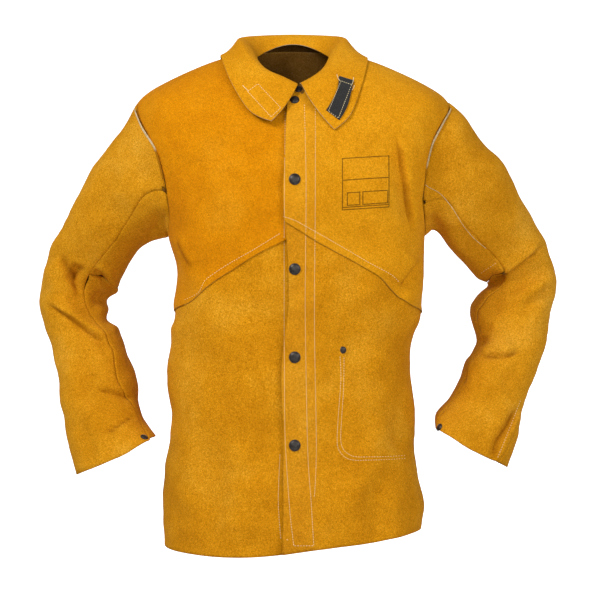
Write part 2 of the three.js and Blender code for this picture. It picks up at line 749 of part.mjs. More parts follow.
// Folds of the sleeves: turn is the place round the ring, ring the place along it,
// slant the rings that the fold climbs over its length, height its rise.
const sleeveFolds = {
  right: [
    { turn: 0.27, ring: 6.9, slant: 0.6, long: 0.12, wide: 0.5, height: -9 },
    { turn: 0.2, ring: 7.9, slant: 0.9, long: 0.13, wide: 0.5, height: 5 },
    { turn: 0.45, ring: 7.3, slant: 0.2, long: 0.12, wide: 0.45, height: -8 },
    { turn: 0.42, ring: 8.6, slant: -0.4, long: 0.1, wide: 0.4, height: -5 },
    { turn: 0.3, ring: 13.4, slant: -0.5, long: 0.12, wide: 0.5, height: 4 },
    { turn: 0.25, ring: 2.4, slant: 2.0, long: 0.16, wide: 0.7, height: -4 },
  ],
  left: [
    { turn: 0.32, ring: 6.6, slant: -0.5, long: 0.12, wide: 0.45, height: -9 },
    { turn: 0.24, ring: 7.6, slant: -0.6, long: 0.12, wide: 0.5, height: 5 },
    { turn: 0.46, ring: 7.2, slant: 0.0, long: 0.1, wide: 0.4, height: -7 },
    { turn: 0.4, ring: 10.8, slant: 0.3, long: 0.12, wide: 0.4, height: -6 },
    { turn: 0.33, ring: 9.6, slant: 0.2, long: 0.14, wide: 0.7, height: 5 },
    { turn: 0.25, ring: 2.6, slant: -2.0, long: 0.16, wide: 0.7, height: -4 },
  ],
};

function catmullRom(a, b, c, d, u) {
  const curve = new THREE.Vector3();
  for (const key of ['x', 'y', 'z']) {
    const slopes = [(c[key] - a[key]) / 2, (d[key] - b[key]) / 2];
    curve[key] =
      (2 * u ** 3 - 3 * u ** 2 + 1) * b[key] +
      (u ** 3 - 2 * u ** 2 + u) * slopes[0] +
      (3 * u ** 2 - 2 * u ** 3) * c[key] +
      (u ** 3 - u ** 2) * slopes[1];
  }
  return curve;
}

class Sleeve {
  constructor(side) {
    this.sign = side === 'right' ? -1 : 1;
    this.side = side;
    this.rings = sleeveRings[side];
    this.folds = sleeveFolds[side];
    this.holes = { front: armholeRun(this.sign, 'front'), back: armholeRun(this.sign, 'back') };
    this.middle = new THREE.Vector3();
    for (let i = 0; i < 24; i += 1) this.middle.addScaledVector(this.rim(i / 24, 0), 1 / 24);
  }

  // Blends a value between the two corners of the armhole's edge beside a place round it.
  round(turn, value) {
    const place = turn - Math.floor(turn);
    const [hole, share] = place <= 0.5 ? [this.holes.front, 2 * place] : [this.holes.back, 2 - 2 * place];
    const at = share * armholeCells;
    const first = Math.min(Math.floor(at), armholeCells - 1);
    const [a, b] = [first, first + 1].map((k) => value(...hole(k / armholeCells)));
    return a.lerp(b, at - first);
  }

  rim(turn, lift) {
    return this.round(turn, (around, drop) => onBody(around, drop, layers.yoke * layer + lift));
  }

  // A point beside the armhole's edge, moved in towards the middle of the hole along the body.
  beside(turn, inward, lift) {
    const outward = this.round(turn, (around, drop) => normalOf(bodyPoint, around, drop, 0.5));
    const point = this.rim(turn, lift);
    const towards = this.middle.clone().sub(point).projectOnPlane(outward.normalize()).normalize();
    return point.addScaledVector(towards, inward);
  }

  // The sleeve's first ring, with some ease under the arm.
  start(turn, lift) {
    const under = (1 - Math.cos(2 * Math.PI * turn)) / 2;
    return this.beside(turn, seamGap + underarmEase * under, lift);
  }

  ring(index, turn) {
    if (index <= 0) return this.start(turn, 0);
    const r = this.rings[Math.min(index, this.rings.length) - 1];
    const [cos, sin] = [Math.cos(2 * Math.PI * turn), Math.sin(2 * Math.PI * turn)];
    const fuller = (value) => Math.sign(value) * Math.abs(value) ** (2 / sleeveSquareness);
    const tilt = THREE.MathUtils.degToRad(r.tilt);
    const wide = (fuller(cos) * sleeveWidth * r.width) / 2;
    const deep = fuller(sin) * sleeveDepth * (narrowDepth + depthPerWidth * r.width);
    return new THREE.Vector3(
      this.sign * (sleeveSpread * r.out + wide * Math.cos(tilt)),
      elbowBack * r.back - deep,
      -sleeveDrop * r.down + wide * Math.sin(tilt),
    );
  }

  bare(turn, along) {
    const last = this.rings.length;
    const i = Math.min(Math.floor(along), last - 1);
    const near = [i - 1, i, i + 1, i + 2].map((k) => this.ring(THREE.MathUtils.clamp(k, 0, last), turn));
    return catmullRom(...near, along - i);
  }

  outward(turn, along) {
    const across = this.bare(turn + 0.005, along).sub(this.bare(turn - 0.005, along));
    const down = this.bare(turn, along + 0.05).sub(this.bare(turn, Math.max(along - 0.05, 0)));
    const normal = across.cross(down).normalize();
    return normal.multiplyScalar(this.sign);
  }

  point(turn, along, lift) {
    if (along <= 0) return this.start(turn, lift);
    const place = turn - Math.floor(turn);
    let rise = 0;
    for (const f of this.folds) {
      const across = (place - f.turn) / f.long;
      const off = (along - f.ring - (f.slant * (place - f.turn)) / f.long) / f.wide;
      rise += f.height * Math.exp(-(across ** 2) - off ** 2);
    }
    const shown = rise * smooth(foldRings.from, foldRings.to, along);
    return this.bare(turn, along).addScaledVector(this.outward(turn, along), shown + lift);
  }

  // The place of a long seam at any ring. The seams start on the armhole where the first ring has them.
  seam(key, along) {
    const at = THREE.MathUtils.clamp(along - 1, 0, this.rings.length - 1);
    const i = Math.min(Math.floor(at), this.rings.length - 2);
    return mix(this.rings[i][key], this.rings[i + 1][key], at - i);
  }

  panel(name, from, to, fromRing, toRing, across, down) {
    const trim = seamGap / (2 * Math.PI * sleeveDepth);
    const place = (s, t, face) => {
      const along = mix(fromRing, toRing, t);
      return this.point(mix(from(along) + trim / 2, to(along) - trim / 2, s), along, face * leather);
    };
    add(name, sheet(place, across, down), suede);
  }

  build() {
    const last = this.rings.length;
    const front = (along) => this.seam('front', along);
    const rear = (along) => this.seam('rear', along);
    const rearBefore = (along) => rear(along) - 1;
    const gap = seamGap / (sleeveDrop / last);
    const [above, below] = [elbowRing - gap / 2, elbowRing + gap / 2];
    const under = `${this.side}_sleeve_under`;
    const columns = sleeveUnderColumns;
    this.panel(`${this.side}_sleeve_top`, rearBefore, front, 0, last, sleeveTopColumns, last);
    this.panel(`${under}_upper`, front, rear, 0, above, columns, elbowRing);
    this.panel(`${under}_lower`, front, rear, below, last, columns, last - elbowRing);
    this.welt();
  }

  // The pale piping over the upper part of the armhole seam.
  welt() {
    const place = (s, t, face) => {
      const inward = mix(weltSpan.body, weltSpan.sleeve, s) * weltWidth + seamGap / 2;
      const lift = leather + weltSeat + face * weltThickness;
      return this.beside(mix(-weltReach, weltReach, t), inward, lift);
    };
    add(`${this.side}_armhole_welt`, sheet(place, 1, 2 * armholeCells), creamEdge);
  }
}

const rightSleeve = new Sleeve('right');
const leftSleeve = new Sleeve('left');
rightSleeve.build();
leftSleeve.build();

// Collar: stations from its right front end round the neck to its left front end. base is the place
// on the neck seam in quarters, fold gives x, y and z of the fold as shares of its half width, the
// collar's depth and the fold's rise. The free edge is given in the front view by view, in the same
// shares, or where it lies on the shoulder or back by its place around and its drop.
const collarStations = [
  { base: 0.04, fold: [0.1, -0.875, -0.72], view: [-0.4, -1.85] },
  { base: -0.16, fold: [-0.16, -0.88, -0.5], view: [-0.72, -1.62] },
  { base: -0.38, fold: [-0.4, -0.82, -0.37], view: [-0.93, -1.22] },
  { base: -0.56, fold: [-0.58, -0.7, -0.2], view: [-1.1, -0.78] },
  { base: -0.74, fold: [-0.76, -0.46, 0.12], view: [-1.23, -0.3] },
  { base: -0.9, fold: [-0.92, -0.16, 0.52], edge: [-0.95, 0.28] },
  { base: -1.08, fold: [-0.98, 0.22, 0.76], edge: [-1.14, 0.29] },
  { base: -1.4, fold: [-0.7, 0.62, 0.93], edge: [-1.42, 0.31] },
  { base: -1.7, fold: [-0.34, 0.78, 0.99], edge: [-1.7, 0.33] },
  { base: -2.0, fold: [0.0, 0.83, 1.0], edge: [-2.0, 0.34] },
  { base: -2.3, fold: [0.34, 0.78, 0.99], edge: [-2.3, 0.33] },
  { base: -2.6, fold: [0.7, 0.62, 0.93], edge: [-2.58, 0.31] },
  { base: -2.92, fold: [0.95, 0.22, 0.76], edge: [-2.86, 0.29] },
  { base: -3.1, fold: [0.88, -0.16, 0.46], edge: [-3.05, 0.29] },
  { base: -3.26, fold: [0.74, -0.44, 0.08], view: [1.3, -0.4] },
  { base: -3.44, fold: [0.58, -0.68, -0.28], view: [1.17, -1.08] },
  { base: -3.62, fold: [0.4, -0.82, -0.48], view: [1.02, -1.64] },
  { base: -3.9, fold: [0.14, -0.89, -0.7], view: [0.74, -2.0] },
];
const collarStand = 0.3;
const collarColumns = 32;
const collarRows = 9;

// How far a layer that crosses the centre front has to rise over the overlap.
function collarRise(around) {
  const signed = around - 4 * quarter * Math.round(around / (4 * quarter));
  return layers.overlap * layer * (1 - smooth(overlapWidth, 2 * overlapWidth, Math.abs(signed)));
}

function onYoke(around, drop, lift) {
  return onBody(around, drop, (layers.yoke + 1) * layer + collarRise(around) + lift);
}

const collarEdges = collarStations.map((station) => {
  if (!station.view) return [station.edge[0] * quarter, station.edge[1] * armpitDrop];
  const [around, drop] = pinFront(station.view[0] * collarFoldHalfWidth, station.view[1] * collarFoldRise);
  return [station.base < -2 ? around - 4 * quarter : around, drop];
});

// Reads a column of numbers off a smooth line through the stations.
function alongCollar(s, column) {
  const last = collarStations.length - 1;
  const at = THREE.MathUtils.clamp(s, 0, 1) * last;
  const i = Math.min(Math.floor(at), last - 1);
  const places = [i - 1, i, i + 1, i + 2].map((k) => THREE.MathUtils.clamp(k, 0, last));
  return catmullRom(...places.map((k) => column(k)), at - i);
}

// A point of the collar: s runs along it, p from the neck seam over the fold to the free edge.
function collarBare(s, p) {
  const base = alongCollar(s, (k) => new THREE.Vector3(collarStations[k].base * quarter, neckFrontDrop, 0));
  const edge = alongCollar(s, (k) => new THREE.Vector3(...collarEdges[k], 0));
  const fold = alongCollar(s, (k) => {
    const [x, y, z] = collarStations[k].fold;
    return new THREE.Vector3(x * collarFoldHalfWidth, y * collarDepth, z * collarFoldRise);
  });
  const away = new THREE.Vector3(fold.x, fold.y, 0).normalize();
  if (p <= collarStand) {
    const up = p / collarStand;
    const root = onBody(base.x, neckFrontDrop - collarSeat, -2 * layer - leather);
    return root.lerp(fold, up).addScaledVector(away, -collarRoll * (1 - (2 * up - 1) ** 2));
  }
  const fall = (p - collarStand) / (1 - collarStand);
  const underWing = 1 - smooth(wingEnd, wingFade, s);
  const clear = collarClearance + (patchThickness + 2 * lapGap) * underWing;
  const foot = onYoke(base.x, neckFrontDrop, clear);
  const resting = onYoke(mix(base.x, edge.x, fall), mix(neckFrontDrop, edge.y, fall), clear);
  return resting.addScaledVector(fold.sub(foot), (1 - fall) ** collarSettling);
}

function collarPoint(s, p, lift) {
  const step = 0.004;
  const [left, right] = [Math.max(s - step, 0), Math.min(s + step, 1)];
  const [low, high] = [Math.max(p - 0.02, 0), Math.min(p + 0.02, 1)];
  const across = collarBare(right, p).sub(collarBare(left, p));
  const down = collarBare(s, high).sub(collarBare(s, low));
  const outward = across.cross(down).normalize();
  return collarBare(s, p).addScaledVector(outward, lift);
}

function collar() {
  const place = (s, t, face) => collarPoint(s, t, face * leather);
  add('collar', sheet(place, collarColumns, collarRows), suede);
}

// A patch on the collar's outer or under side, between four corners given in the front view: x in
// fold half widths, z in fold rises, round from its upper left. guess is where it lies on the collar.
const patchColumns = 4;
const patchRows = 6;
function collarPatch(name, corners, guess, lift) {
  const pins = corners.map(([x, z]) => {
    const [wide, high] = [x * collarFoldHalfWidth, z * collarFoldRise];
    return pin(collarBare, wide, high, guess, [0, 1], collarPinning);
  });
  const place = (s, t, face) => {
    const upper = [0, 1].map((k) => mix(pins[0][k], pins[1][k], s));
    const lower = [0, 1].map((k) => mix(pins[3][k], pins[2][k], s));
    const [along, over] = [mix(upper[0], lower[0], t), mix(upper[1], lower[1], t)];
    return collarPoint(along, over, lift + face * patchThickness);
  };
  add(name, sheet(place, patchColumns, patchRows), hookCloth);
}

// A round cap with a domed top on a stepped edge, its foot at the origin and its top along +Y.
const capSides = 12;
const capProfile = [
  { out: 0.0, up: 0.0 },
  { out: 0.94, up: 0.0 },
  { out: 1.0, up: 0.18 },
  { out: 0.96, up: 0.5 },
  { out: 0.66, up: 0.86 },
  { out: 0.0, up: 1.0 },
];
function cap(diameter, height) {
  const outline = capProfile.map(({ out, up }) => new THREE.Vector2((out * diameter) / 2, up * height));
  return new THREE.LatheGeometry(outline, capSides);
}

function setCap(name, diameter, height, point, outward) {
  add(name, cap(diameter, height), darkMetal);
  const mesh = jacket.getObjectByName(name);
  mesh.position.copy(point);
  mesh.quaternion.setFromUnitVectors(new THREE.Vector3(0, 1, 0), outward);
}

// A cap on the body where the front view shows it. height is its foot over the body's surface.
function bodyCap(name, diameter, rise, x, z, height) {
  const [around, drop] = pinFront(x, z);
  setCap(name, diameter, rise, onBody(around, drop, height), normalOf(bodyPoint, around, drop, 2));
}

collar();
const hookCorners = [
  [0.82, -0.56],
  [1.08, -0.68],
  [0.82, -1.72],
  [0.585, -1.47],
];
const loopCorners = [
  [-0.8, -0.91],
  [-0.62, -0.72],
  [-0.22, -1.37],
  [-0.39, -1.61],
];
collarPatch('collar_hook_patch', hookCorners, [0.9, 0.7], leather + patchSeat);
collarPatch('collar_loop_patch', loopCorners, [0.1, 0.7], -2 * lapGap - patchThickness);

// The end of the neck band, a rounded tab over the top of the closure, and its snap.
const tabDrop = neckFrontDrop + tabOverhang;
const tabColumns = 3;
const tabRows = 6;
const outside = (layers.yoke + layers.overlap) * layer + leather;
const tabPlace = (s, t, face) => {
  const rounding = 1 - tabRounding * (2 * t - 1) ** 4;
  const x = tabMiddle + (s - 0.5) * tabWidth * rounding;
  const [around, drop] = pinFront(x, -tabDrop - (t - 0.5) * tabHeight);
  return onBody(around, drop, outside + patchSeat + face * leather);
};
add('neck_tab', sheet(tabPlace, tabColumns, tabRows), suede);

const onTab = outside + patchSeat + leather + capSeat;
bodyCap('neck_snap', smallSnapDiameter, smallSnapRise, tabMiddle, -tabDrop, onTab);
bodyCap('top_snap', smallSnapDiameter, smallSnapRise, snapLine, -topSnapDrop, outside + capSeat);
for (let i = 0; i < snapCount; i += 1) {
  const drop = firstSnapDrop + i * snapSpacing;
  const onPanel = drop > overlapSeamDrops.outer * bodyLength;
  const level = outside + capSeat - (onPanel ? layer : 0);
  bodyCap(`front_snap_${i + 1}`, snapDiameter, snapRise, snapLine, -drop, level);
}

// The pocket inside the left front: sewn down at its sides and bottom, with a bellied mouth at its
// top. A rivet holds the mouth's front corner.
const pocketColumns = 8;
const pocketRows = 8;
const [pocketEdge, pocketTop] = pinFront(pocketLeft, -pocketMouthDrop);
const pocketPlace = (s, t, face) => {
  const around = pocketEdge + s * pocketWidth;
  const belly = pocketBelly * Math.sin(Math.PI * s) ** 0.8 * (1 - t ** 2);
  const lift = -layer - pocketEase - belly + overlapRise(around) + face * leather;
  return onBody(around, pocketTop + t * pocketHeight, lift);
};
add('inner_pocket', sheet(pocketPlace, pocketColumns, pocketRows), suede);
const rivetLift = overlapRise(pocketEdge) + leather + capSeat;
const rivetPlace = [pocketLeft + rivetInset, -pocketMouthDrop - rivetInset];
bodyCap('pocket_rivet', rivetDiameter, rivetRise, ...rivetPlace, rivetLift);

// A snap near the end of each sleeve, on the inner side of the cuff.
const cuffSnaps = [
  { sleeve: rightSleeve, turn: 0.4 },
  { sleeve: leftSleeve, turn: 0.415 },
];
for (const { sleeve, turn } of cuffSnaps) {
  const along = sleeve.rings.length - cuffSnapSetback;
  const point = sleeve.point(turn, along, leather + capSeat);
  const outward = sleeve.outward(turn, along);
  setCap(`${sleeve.side}_cuff_snap`, smallSnapDiameter, smallSnapRise, point, outward);
}

export default jacket;
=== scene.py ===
import math
import bmesh
import bpy
import numpy as np
from mathutils import Matrix, Vector
from mathutils.bvhtree import BVHTree
from mathutils.kdtree import KDTree


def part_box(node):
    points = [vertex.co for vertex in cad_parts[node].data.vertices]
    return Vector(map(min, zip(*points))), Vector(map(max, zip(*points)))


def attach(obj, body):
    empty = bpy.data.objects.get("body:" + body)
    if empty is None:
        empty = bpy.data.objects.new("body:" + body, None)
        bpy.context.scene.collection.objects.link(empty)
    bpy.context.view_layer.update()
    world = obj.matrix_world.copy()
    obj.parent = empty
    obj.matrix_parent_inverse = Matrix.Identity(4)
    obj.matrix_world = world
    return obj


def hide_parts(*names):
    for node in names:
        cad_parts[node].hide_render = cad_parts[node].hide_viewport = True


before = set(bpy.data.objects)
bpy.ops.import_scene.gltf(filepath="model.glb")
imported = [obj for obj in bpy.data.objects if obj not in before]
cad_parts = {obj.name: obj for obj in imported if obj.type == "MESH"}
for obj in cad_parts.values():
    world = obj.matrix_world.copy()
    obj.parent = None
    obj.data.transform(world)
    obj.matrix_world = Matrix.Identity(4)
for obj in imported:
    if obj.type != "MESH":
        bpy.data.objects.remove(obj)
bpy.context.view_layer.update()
print("frame loaded")

# The camera stands level in front of the jacket. Folds and stitches of the front are drawn in its
# view, a square of 600 steps, each 1.5 mm wide at the middle of the jacket.
look = {"eye": Vector((0.0105, -3.2, -0.357)), "step": 0.0015, "steps": 600}


def lookAt(px, py):
    eye, half = look["eye"], look["steps"] / 2
    return Vector((eye.x + (px - half) * look["step"], 0, eye.z - (py - half) * look["step"]))


def viewOf(points):  # where points of the jacket appear in the view
    eye, half = look["eye"], look["steps"] / 2
    share = -eye.y / (points[:, 1] - eye.y) / look["step"]
    return np.stack([half + (points[:, 0] - eye.x) * share, half - (points[:, 2] - eye.z) * share], 1)


def makeCamera():
    lens = bpy.data.cameras.new("camera")
    lens.sensor_width = 36
    lens.lens = 36 * -look["eye"].y / (look["step"] * look["steps"])
    camera = bpy.data.objects.new("camera", lens)
    camera.location = look["eye"]
    camera.rotation_euler = (math.pi / 2, 0, 0)
    bpy.context.collection.objects.link(camera)
    bpy.context.scene.camera = camera


makeCamera()

# ---------- finishes


def newMaterial(name, roughness):
    material = bpy.data.materials.new(name)
    material.use_nodes = True
    tree = material.node_tree
    shader = tree.nodes["Principled BSDF"]
    shader.inputs["Roughness"].default_value = roughness
    return material, tree, shader


def node(tree, kind, **settings):
    made = tree.nodes.new(kind)
    for key, value in settings.items():
        setattr(made, key, value)
    return made


def grain(tree, place, scale, detail, roughness=0.6):
    made = node(tree, "ShaderNodeTexNoise")
    made.inputs["Scale"].default_value = scale
    made.inputs["Detail"].default_value = detail
    made.inputs["Roughness"].default_value = roughness
    tree.links.new(place, made.inputs["Vector"])
    return made.outputs["Fac"]


def ramp(tree, value, stops):
    made = node(tree, "ShaderNodeValToRGB")
    points = made.color_ramp.elements
    while len(points) < len(stops):
        points.new(0.5)
    for point, (at, colour) in zip(points, stops):
        point.position = at
        point.color = (*colour, 1)
    tree.links.new(value, made.inputs["Fac"])
    return made.outputs["Color"]


def blendOf(tree, kind, share, first, second):
    made = node(tree, "ShaderNodeMix", data_type="RGBA", blend_type=kind)
    for socket, value in ((made.inputs[0], share), (made.inputs[6], first), (made.inputs[7], second)):
        if isinstance(value, (int, float)):
            socket.default_value = value
        elif isinstance(value, tuple):
            socket.default_value = (*value, 1)
        else:
            tree.links.new(value, socket)
    return made.outputs[2]


def maths(tree, kind, first, second):
    made = node(tree, "ShaderNodeMath", operation=kind)
    for socket, value in zip(made.inputs, (first, second)):
        if isinstance(value, (int, float)):
            socket.default_value = value
        else:
            tree.links.new(value, socket)
    return made.outputs[0]


# 1 between two places, 0 outside, with soft ends
def band(tree, value, low, high, soft):
    rise = node(tree, "ShaderNodeMapRange", interpolation_type="SMOOTHSTEP")
    fall = node(tree, "ShaderNodeMapRange", interpolation_type="SMOOTHSTEP")
    for part, (start, end) in ((rise, (low - soft, low + soft)), (fall, (high + soft, high - soft))):
        tree.links.new(value, part.inputs["Value"])
        part.inputs["From Min"].default_value = start
        part.inputs["From Max"].default_value = end
    return maths(tree, "MULTIPLY", rise.outputs[0], fall.outputs[0])


suedeLook = {
    "roughness": 0.95,
    "sheen": 0.07,
    "cloud": 9,  # features a metre, from the broad clouds down to the nap
    "patch": 60,
    "fleck": 420,
    "nap": 1300,
    "bump": 0.55,
}


def suede(name, light, middle, dark, contrast=1.0, strip=None, printed=None):
    look = suedeLook
    material, tree, shader = newMaterial(name, look["roughness"])
    place = node(tree, "ShaderNodeTexCoord").outputs["Object"]
    cloud = grain(tree, place, look["cloud"], 3)
    patch = grain(tree, place, look["patch"], 4, 0.65)
    fleck = grain(tree, place, look["fleck"], 3, 0.7)
    nap = grain(tree, place, look["nap"], 2, 0.7)
    broad = ramp(tree, cloud, [(0.3, dark), (0.5, middle), (0.72, light)])
    spots = ramp(tree, patch, [(0.3, (0.9, 0.87, 0.8)), (0.52, (1, 1, 1)), (0.72, (1.04, 1.07, 1.3))])
    colour = blendOf(tree, "MULTIPLY", 0.75 * contrast, broad, spots)
    spots = ramp(tree, fleck, [(0.34, (0.74, 0.7, 0.5)), (0.52, (1, 1, 1)), (0.7, (1.14, 1.24, 2.4))])
    colour = blendOf(tree, "MULTIPLY", min(1, 0.95 * contrast), colour, spots)
    fine = ramp(tree, nap, [(0.35, (0.62, 0.58, 0.4)), (0.52, (1, 1, 1)), (0.68, (1.3, 1.42, 3.0))])
    colour = blendOf(tree, "MULTIPLY", min(1, 0.95 * contrast), colour, fine)
    # Painted shade: along the fold creases the leather is darkened towards a dull brown, by the crease attribute
    printWearAndCreaseShade = node(tree, "ShaderNodeAttribute", attribute_name="crease").outputs["Fac"]
    colour = blendOf(tree, "MULTIPLY", maths(tree, "MULTIPLY", printWearAndCreaseShade, 0.85), colour, (0.42, 0.30, 0.18))
    axes = node(tree, "ShaderNodeSeparateXYZ")
    tree.links.new(place, axes.inputs[0])
    if strip:
        share = band(tree, axes.outputs["X"], *strip["from"], strip["soft"])
        colour = blendOf(tree, "MIX", maths(tree, "MULTIPLY", share, strip["share"]), colour, strip["colour"])
    if printed:
        colour = blendOf(tree, "MIX", ruled(tree, axes, printed), colour, printed["ink"])
    tree.links.new(colour, shader.inputs["Base Color"])
    shader.inputs["Sheen Weight"].default_value = look["sheen"]
    shader.inputs["Sheen Roughness"].default_value = 0.5
    shader.inputs["Sheen Tint"].default_value = (1.0, 0.62, 0.15, 1)
    shader.inputs["Specular IOR Level"].default_value = 0.03
    height = maths(tree, "ADD", maths(tree, "MULTIPLY", fleck, 1.6), nap)
    bump = node(tree, "ShaderNodeBump")
    bump.inputs["Strength"].default_value = look["bump"]
    bump.inputs["Distance"].default_value = 0.0012
    tree.links.new(height, bump.inputs["Height"])
    tree.links.new(bump.outputs["Normal"], shader.inputs["Normal"])
    return material


# Thin ruled lines of a blank printed form on the chest: a frame, two rules and two small boxes
def ruled(tree, axes, printed):
    lean = maths(tree, "MULTIPLY", axes.outputs["X"], printed["lean"])
    x, z = axes.outputs["X"], maths(tree, "SUBTRACT", axes.outputs["Z"], lean)
    total = None
    for left, right, low, high in printed["boxes"]:
        half = printed["line"] / 2
        outer = maths(tree, "MULTIPLY", band(tree, x, left - half, right + half, 0.0002),
                      band(tree, z, low - half, high + half, 0.0002))
        inner = maths(tree, "MULTIPLY", band(tree, x, left + half, right - half, 0.0002),
                      band(tree, z, low + half, high - half, 0.0002))
        edge = maths(tree, "SUBTRACT", outer, inner)
        total = edge if total is None else maths(tree, "MAXIMUM", total, edge)
    printWearAndCreaseShade = grain(tree, node(tree, "ShaderNodeTexCoord").outputs["Object"], 700, 2)
    wear = node(tree, "ShaderNodeMapRange")
    wear.inputs["From Min"].default_value = 0.35
    wear.inputs["From Max"].default_value = 0.5
    wear.inputs["To Min"].default_value = printed["wear"]
    tree.links.new(printWearAndCreaseShade, wear.inputs["Value"])
    return maths(tree, "MULTIPLY", maths(tree, "MULTIPLY", total, wear.outputs[0]), 0.8)


placket = {"from": (-0.0185, 0.034), "soft": 0.0015, "share": 0.1, "colour": (0.60, 0.26, 0.028)}
chestForm = {
    "ink": (0.05, 0.022, 0.006),
    "line": 0.0015,
    "lean": 0.075,
    "wear": 0.55,
    "boxes": [
        (0.0715, 0.1390, -0.2330, -0.1590),
        (0.0715, 0.1390, -0.1905, -0.1590),
        (0.0715, 0.1390, -0.2295, -0.1905),
        (0.0785, 0.0965, -0.2270, -0.2090),
        (0.1010, 0.1370, -0.2270, -0.2090),
    ],
}
rightTone = {"light": (0.78, 0.305, 0.006), "middle": (0.74, 0.265, 0.002), "dark": (0.68, 0.23, 0.002)}
leftTone = {"light": (0.82, 0.37, 0.012), "middle": (0.77, 0.32, 0.006), "dark": (0.71, 0.28, 0.004)}
lowTone = {"light": (0.80, 0.36, 0.014), "middle": (0.72, 0.29, 0.005), "dark": (0.62, 0.235, 0.003)}
sleeveTone = {"light": (0.80, 0.38, 0.022), "middle": (0.73, 0.31, 0.008), "dark": (0.63, 0.25, 0.004)}
finishes = {
    "rightYoke": suede("suede smooth", **rightTone, contrast=0.8),
    "leftYoke": suede("suede of the closing yoke", **leftTone, contrast=0.85, strip=placket, printed=chestForm),
    "low": suede("suede of the lower panels", **lowTone, contrast=1.0),
    "lowLeft": suede("suede of the closing panel", **lowTone, contrast=1.0, strip=placket),
    "sleeve": suede("suede of the sleeves", **sleeveTone, contrast=1.0),
    "collar": suede("suede of the collar", **leftTone, contrast=0.85),
}
# The flesh side's own browner tone, darkened further as painted shade, as on the shadowed insides of the cuffs and
# collar
fleshInPaintedShade = suede("flesh side in painted shade", (0.26, 0.125, 0.02), (0.21, 0.095, 0.012), (0.15, 0.065, 0.008), contrast=1.0)
edgeTan = suede("cut edge", (0.62, 0.36, 0.09), (0.52, 0.28, 0.05), (0.42, 0.2, 0.03), contrast=0.8)
edgeCream = suede("pale cut edge", (0.80, 0.66, 0.38), (0.74, 0.57, 0.28), (0.62, 0.44, 0.18), contrast=0.6)


def metalFinish():
    material, tree, shader = newMaterial("blackened metal", 0.38)
    place = node(tree, "ShaderNodeTexCoord").outputs["Object"]
    cloud = grain(tree, place, 260, 3)
    tree.links.new(ramp(tree, cloud, [(0.35, (0.035, 0.03, 0.027)), (0.7, (0.075, 0.066, 0.06))]),
                   shader.inputs["Base Color"])
    shader.inputs["Metallic"].default_value = 0.75
    rough = node(tree, "ShaderNodeMapRange")
    rough.inputs["To Min"].default_value = 0.28
    rough.inputs["To Max"].default_value = 0.5
    tree.links.new(grain(tree, place, 900, 2), rough.inputs["Value"])
    tree.links.new(rough.outputs[0], shader.inputs["Roughness"])
    return material


def threadFinish():
    material, tree, shader = newMaterial("cream thread", 0.8)
    place = node(tree, "ShaderNodeTexCoord").outputs["Object"]
    tree.links.new(ramp(tree, grain(tree, place, 500, 2), [(0.3, (0.86, 0.66, 0.30)), (0.7, (0.98, 0.86, 0.56))]),
                   shader.inputs["Base Color"])
    shader.inputs["Sheen Weight"].default_value = 0.2
    return material


def hookFinish():
    material, tree, shader = newMaterial("hook cloth", 0.85)
    place = node(tree, "ShaderNodeTexCoord").outputs["Object"]
    loops = node(tree, "ShaderNodeTexVoronoi")
    loops.inputs["Scale"].default_value = 900
    tree.links.new(place, loops.inputs["Vector"])
    tree.links.new(ramp(tree, loops.outputs["Distance"], [(0.0, (0.035, 0.033, 0.032)), (0.6, (0.006, 0.006, 0.006))]),
                   shader.inputs["Base Color"])
    bump = node(tree, "ShaderNodeBump", invert=True)
    bump.inputs["Strength"].default_value = 0.7
    bump.inputs["Distance"].default_value = 0.0006
    tree.links.new(loops.outputs["Distance"], bump.inputs["Height"])
    tree.links.new(bump.outputs["Normal"], shader.inputs["Normal"])
    shader.inputs["Sheen Weight"].default_value = 0.1
    return material


# Pale folded edge that runs out down the armhole
def weltFinish(name, low):
    material = edgeCream.copy()
    material.name = name
    tree = material.node_tree
    shader = tree.nodes["Principled BSDF"]
    pale = shader.inputs["Base Color"].links[0].from_socket
    place = node(tree, "ShaderNodeTexCoord").outputs["Object"]
    axes = node(tree, "ShaderNodeSeparateXYZ")
    tree.links.new(place, axes.inputs[0])
    fade = node(tree, "ShaderNodeMapRange")
    fade.inputs["From Min"].default_value = low - 0.004
    fade.inputs["From Max"].default_value = low + 0.004
    tree.links.new(axes.outputs["Z"], fade.inputs["Value"])
    tree.links.new(blendOf(tree, "MIX", fade.outputs[0], (0.42, 0.16, 0.004), pale), shader.inputs["Base Color"])
    return material


rightWelt, leftWelt = weltFinish("right pale edge", -0.137), weltFinish("left pale edge", -0.162)
metal, thread, hook = metalFinish(), threadFinish(), hookFinish()
print("finishes made")

# ---------- leather, cut from the part's own panels


# The outer face of a panel's thin solid, as a net of four-sided cells
def outerSkin(name):
    skin = bmesh.new()
    skin.from_mesh(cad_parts[name].data)
    bmesh.ops.remove_doubles(skin, verts=skin.verts[:], dist=0.0001)
    rim = {face for edge in skin.edges if edge.calc_length() < 0.0021 for face in edge.link_faces}
    bmesh.ops.delete(skin, geom=list(rim), context="FACES")
    sides, left = [], set(skin.faces)
    while left:
        reached = [left.pop()]
        side = list(reached)
        while reached:
            for edge in reached.pop().edges:
                for face in edge.link_faces:
                    if face in left:
                        left.remove(face)
                        reached.append(face)
                        side.append(face)
        sides.append(side)
    areas = [sum(face.calc_area() for face in side) for side in sides]
    if len(sides) == 2 and abs(areas[0] - areas[1]) < 0.004 * areas[0]:
        areas = [-sum(face.normal.y * face.calc_area() for face in side) for side in sides]
    keep = max(range(len(sides)), key=lambda i: areas[i])
    other = [face for i, side in enumerate(sides) if i != keep for face in side]
    bmesh.ops.delete(skin, geom=other, context="FACES")
    squareUp(skin)
    return skin


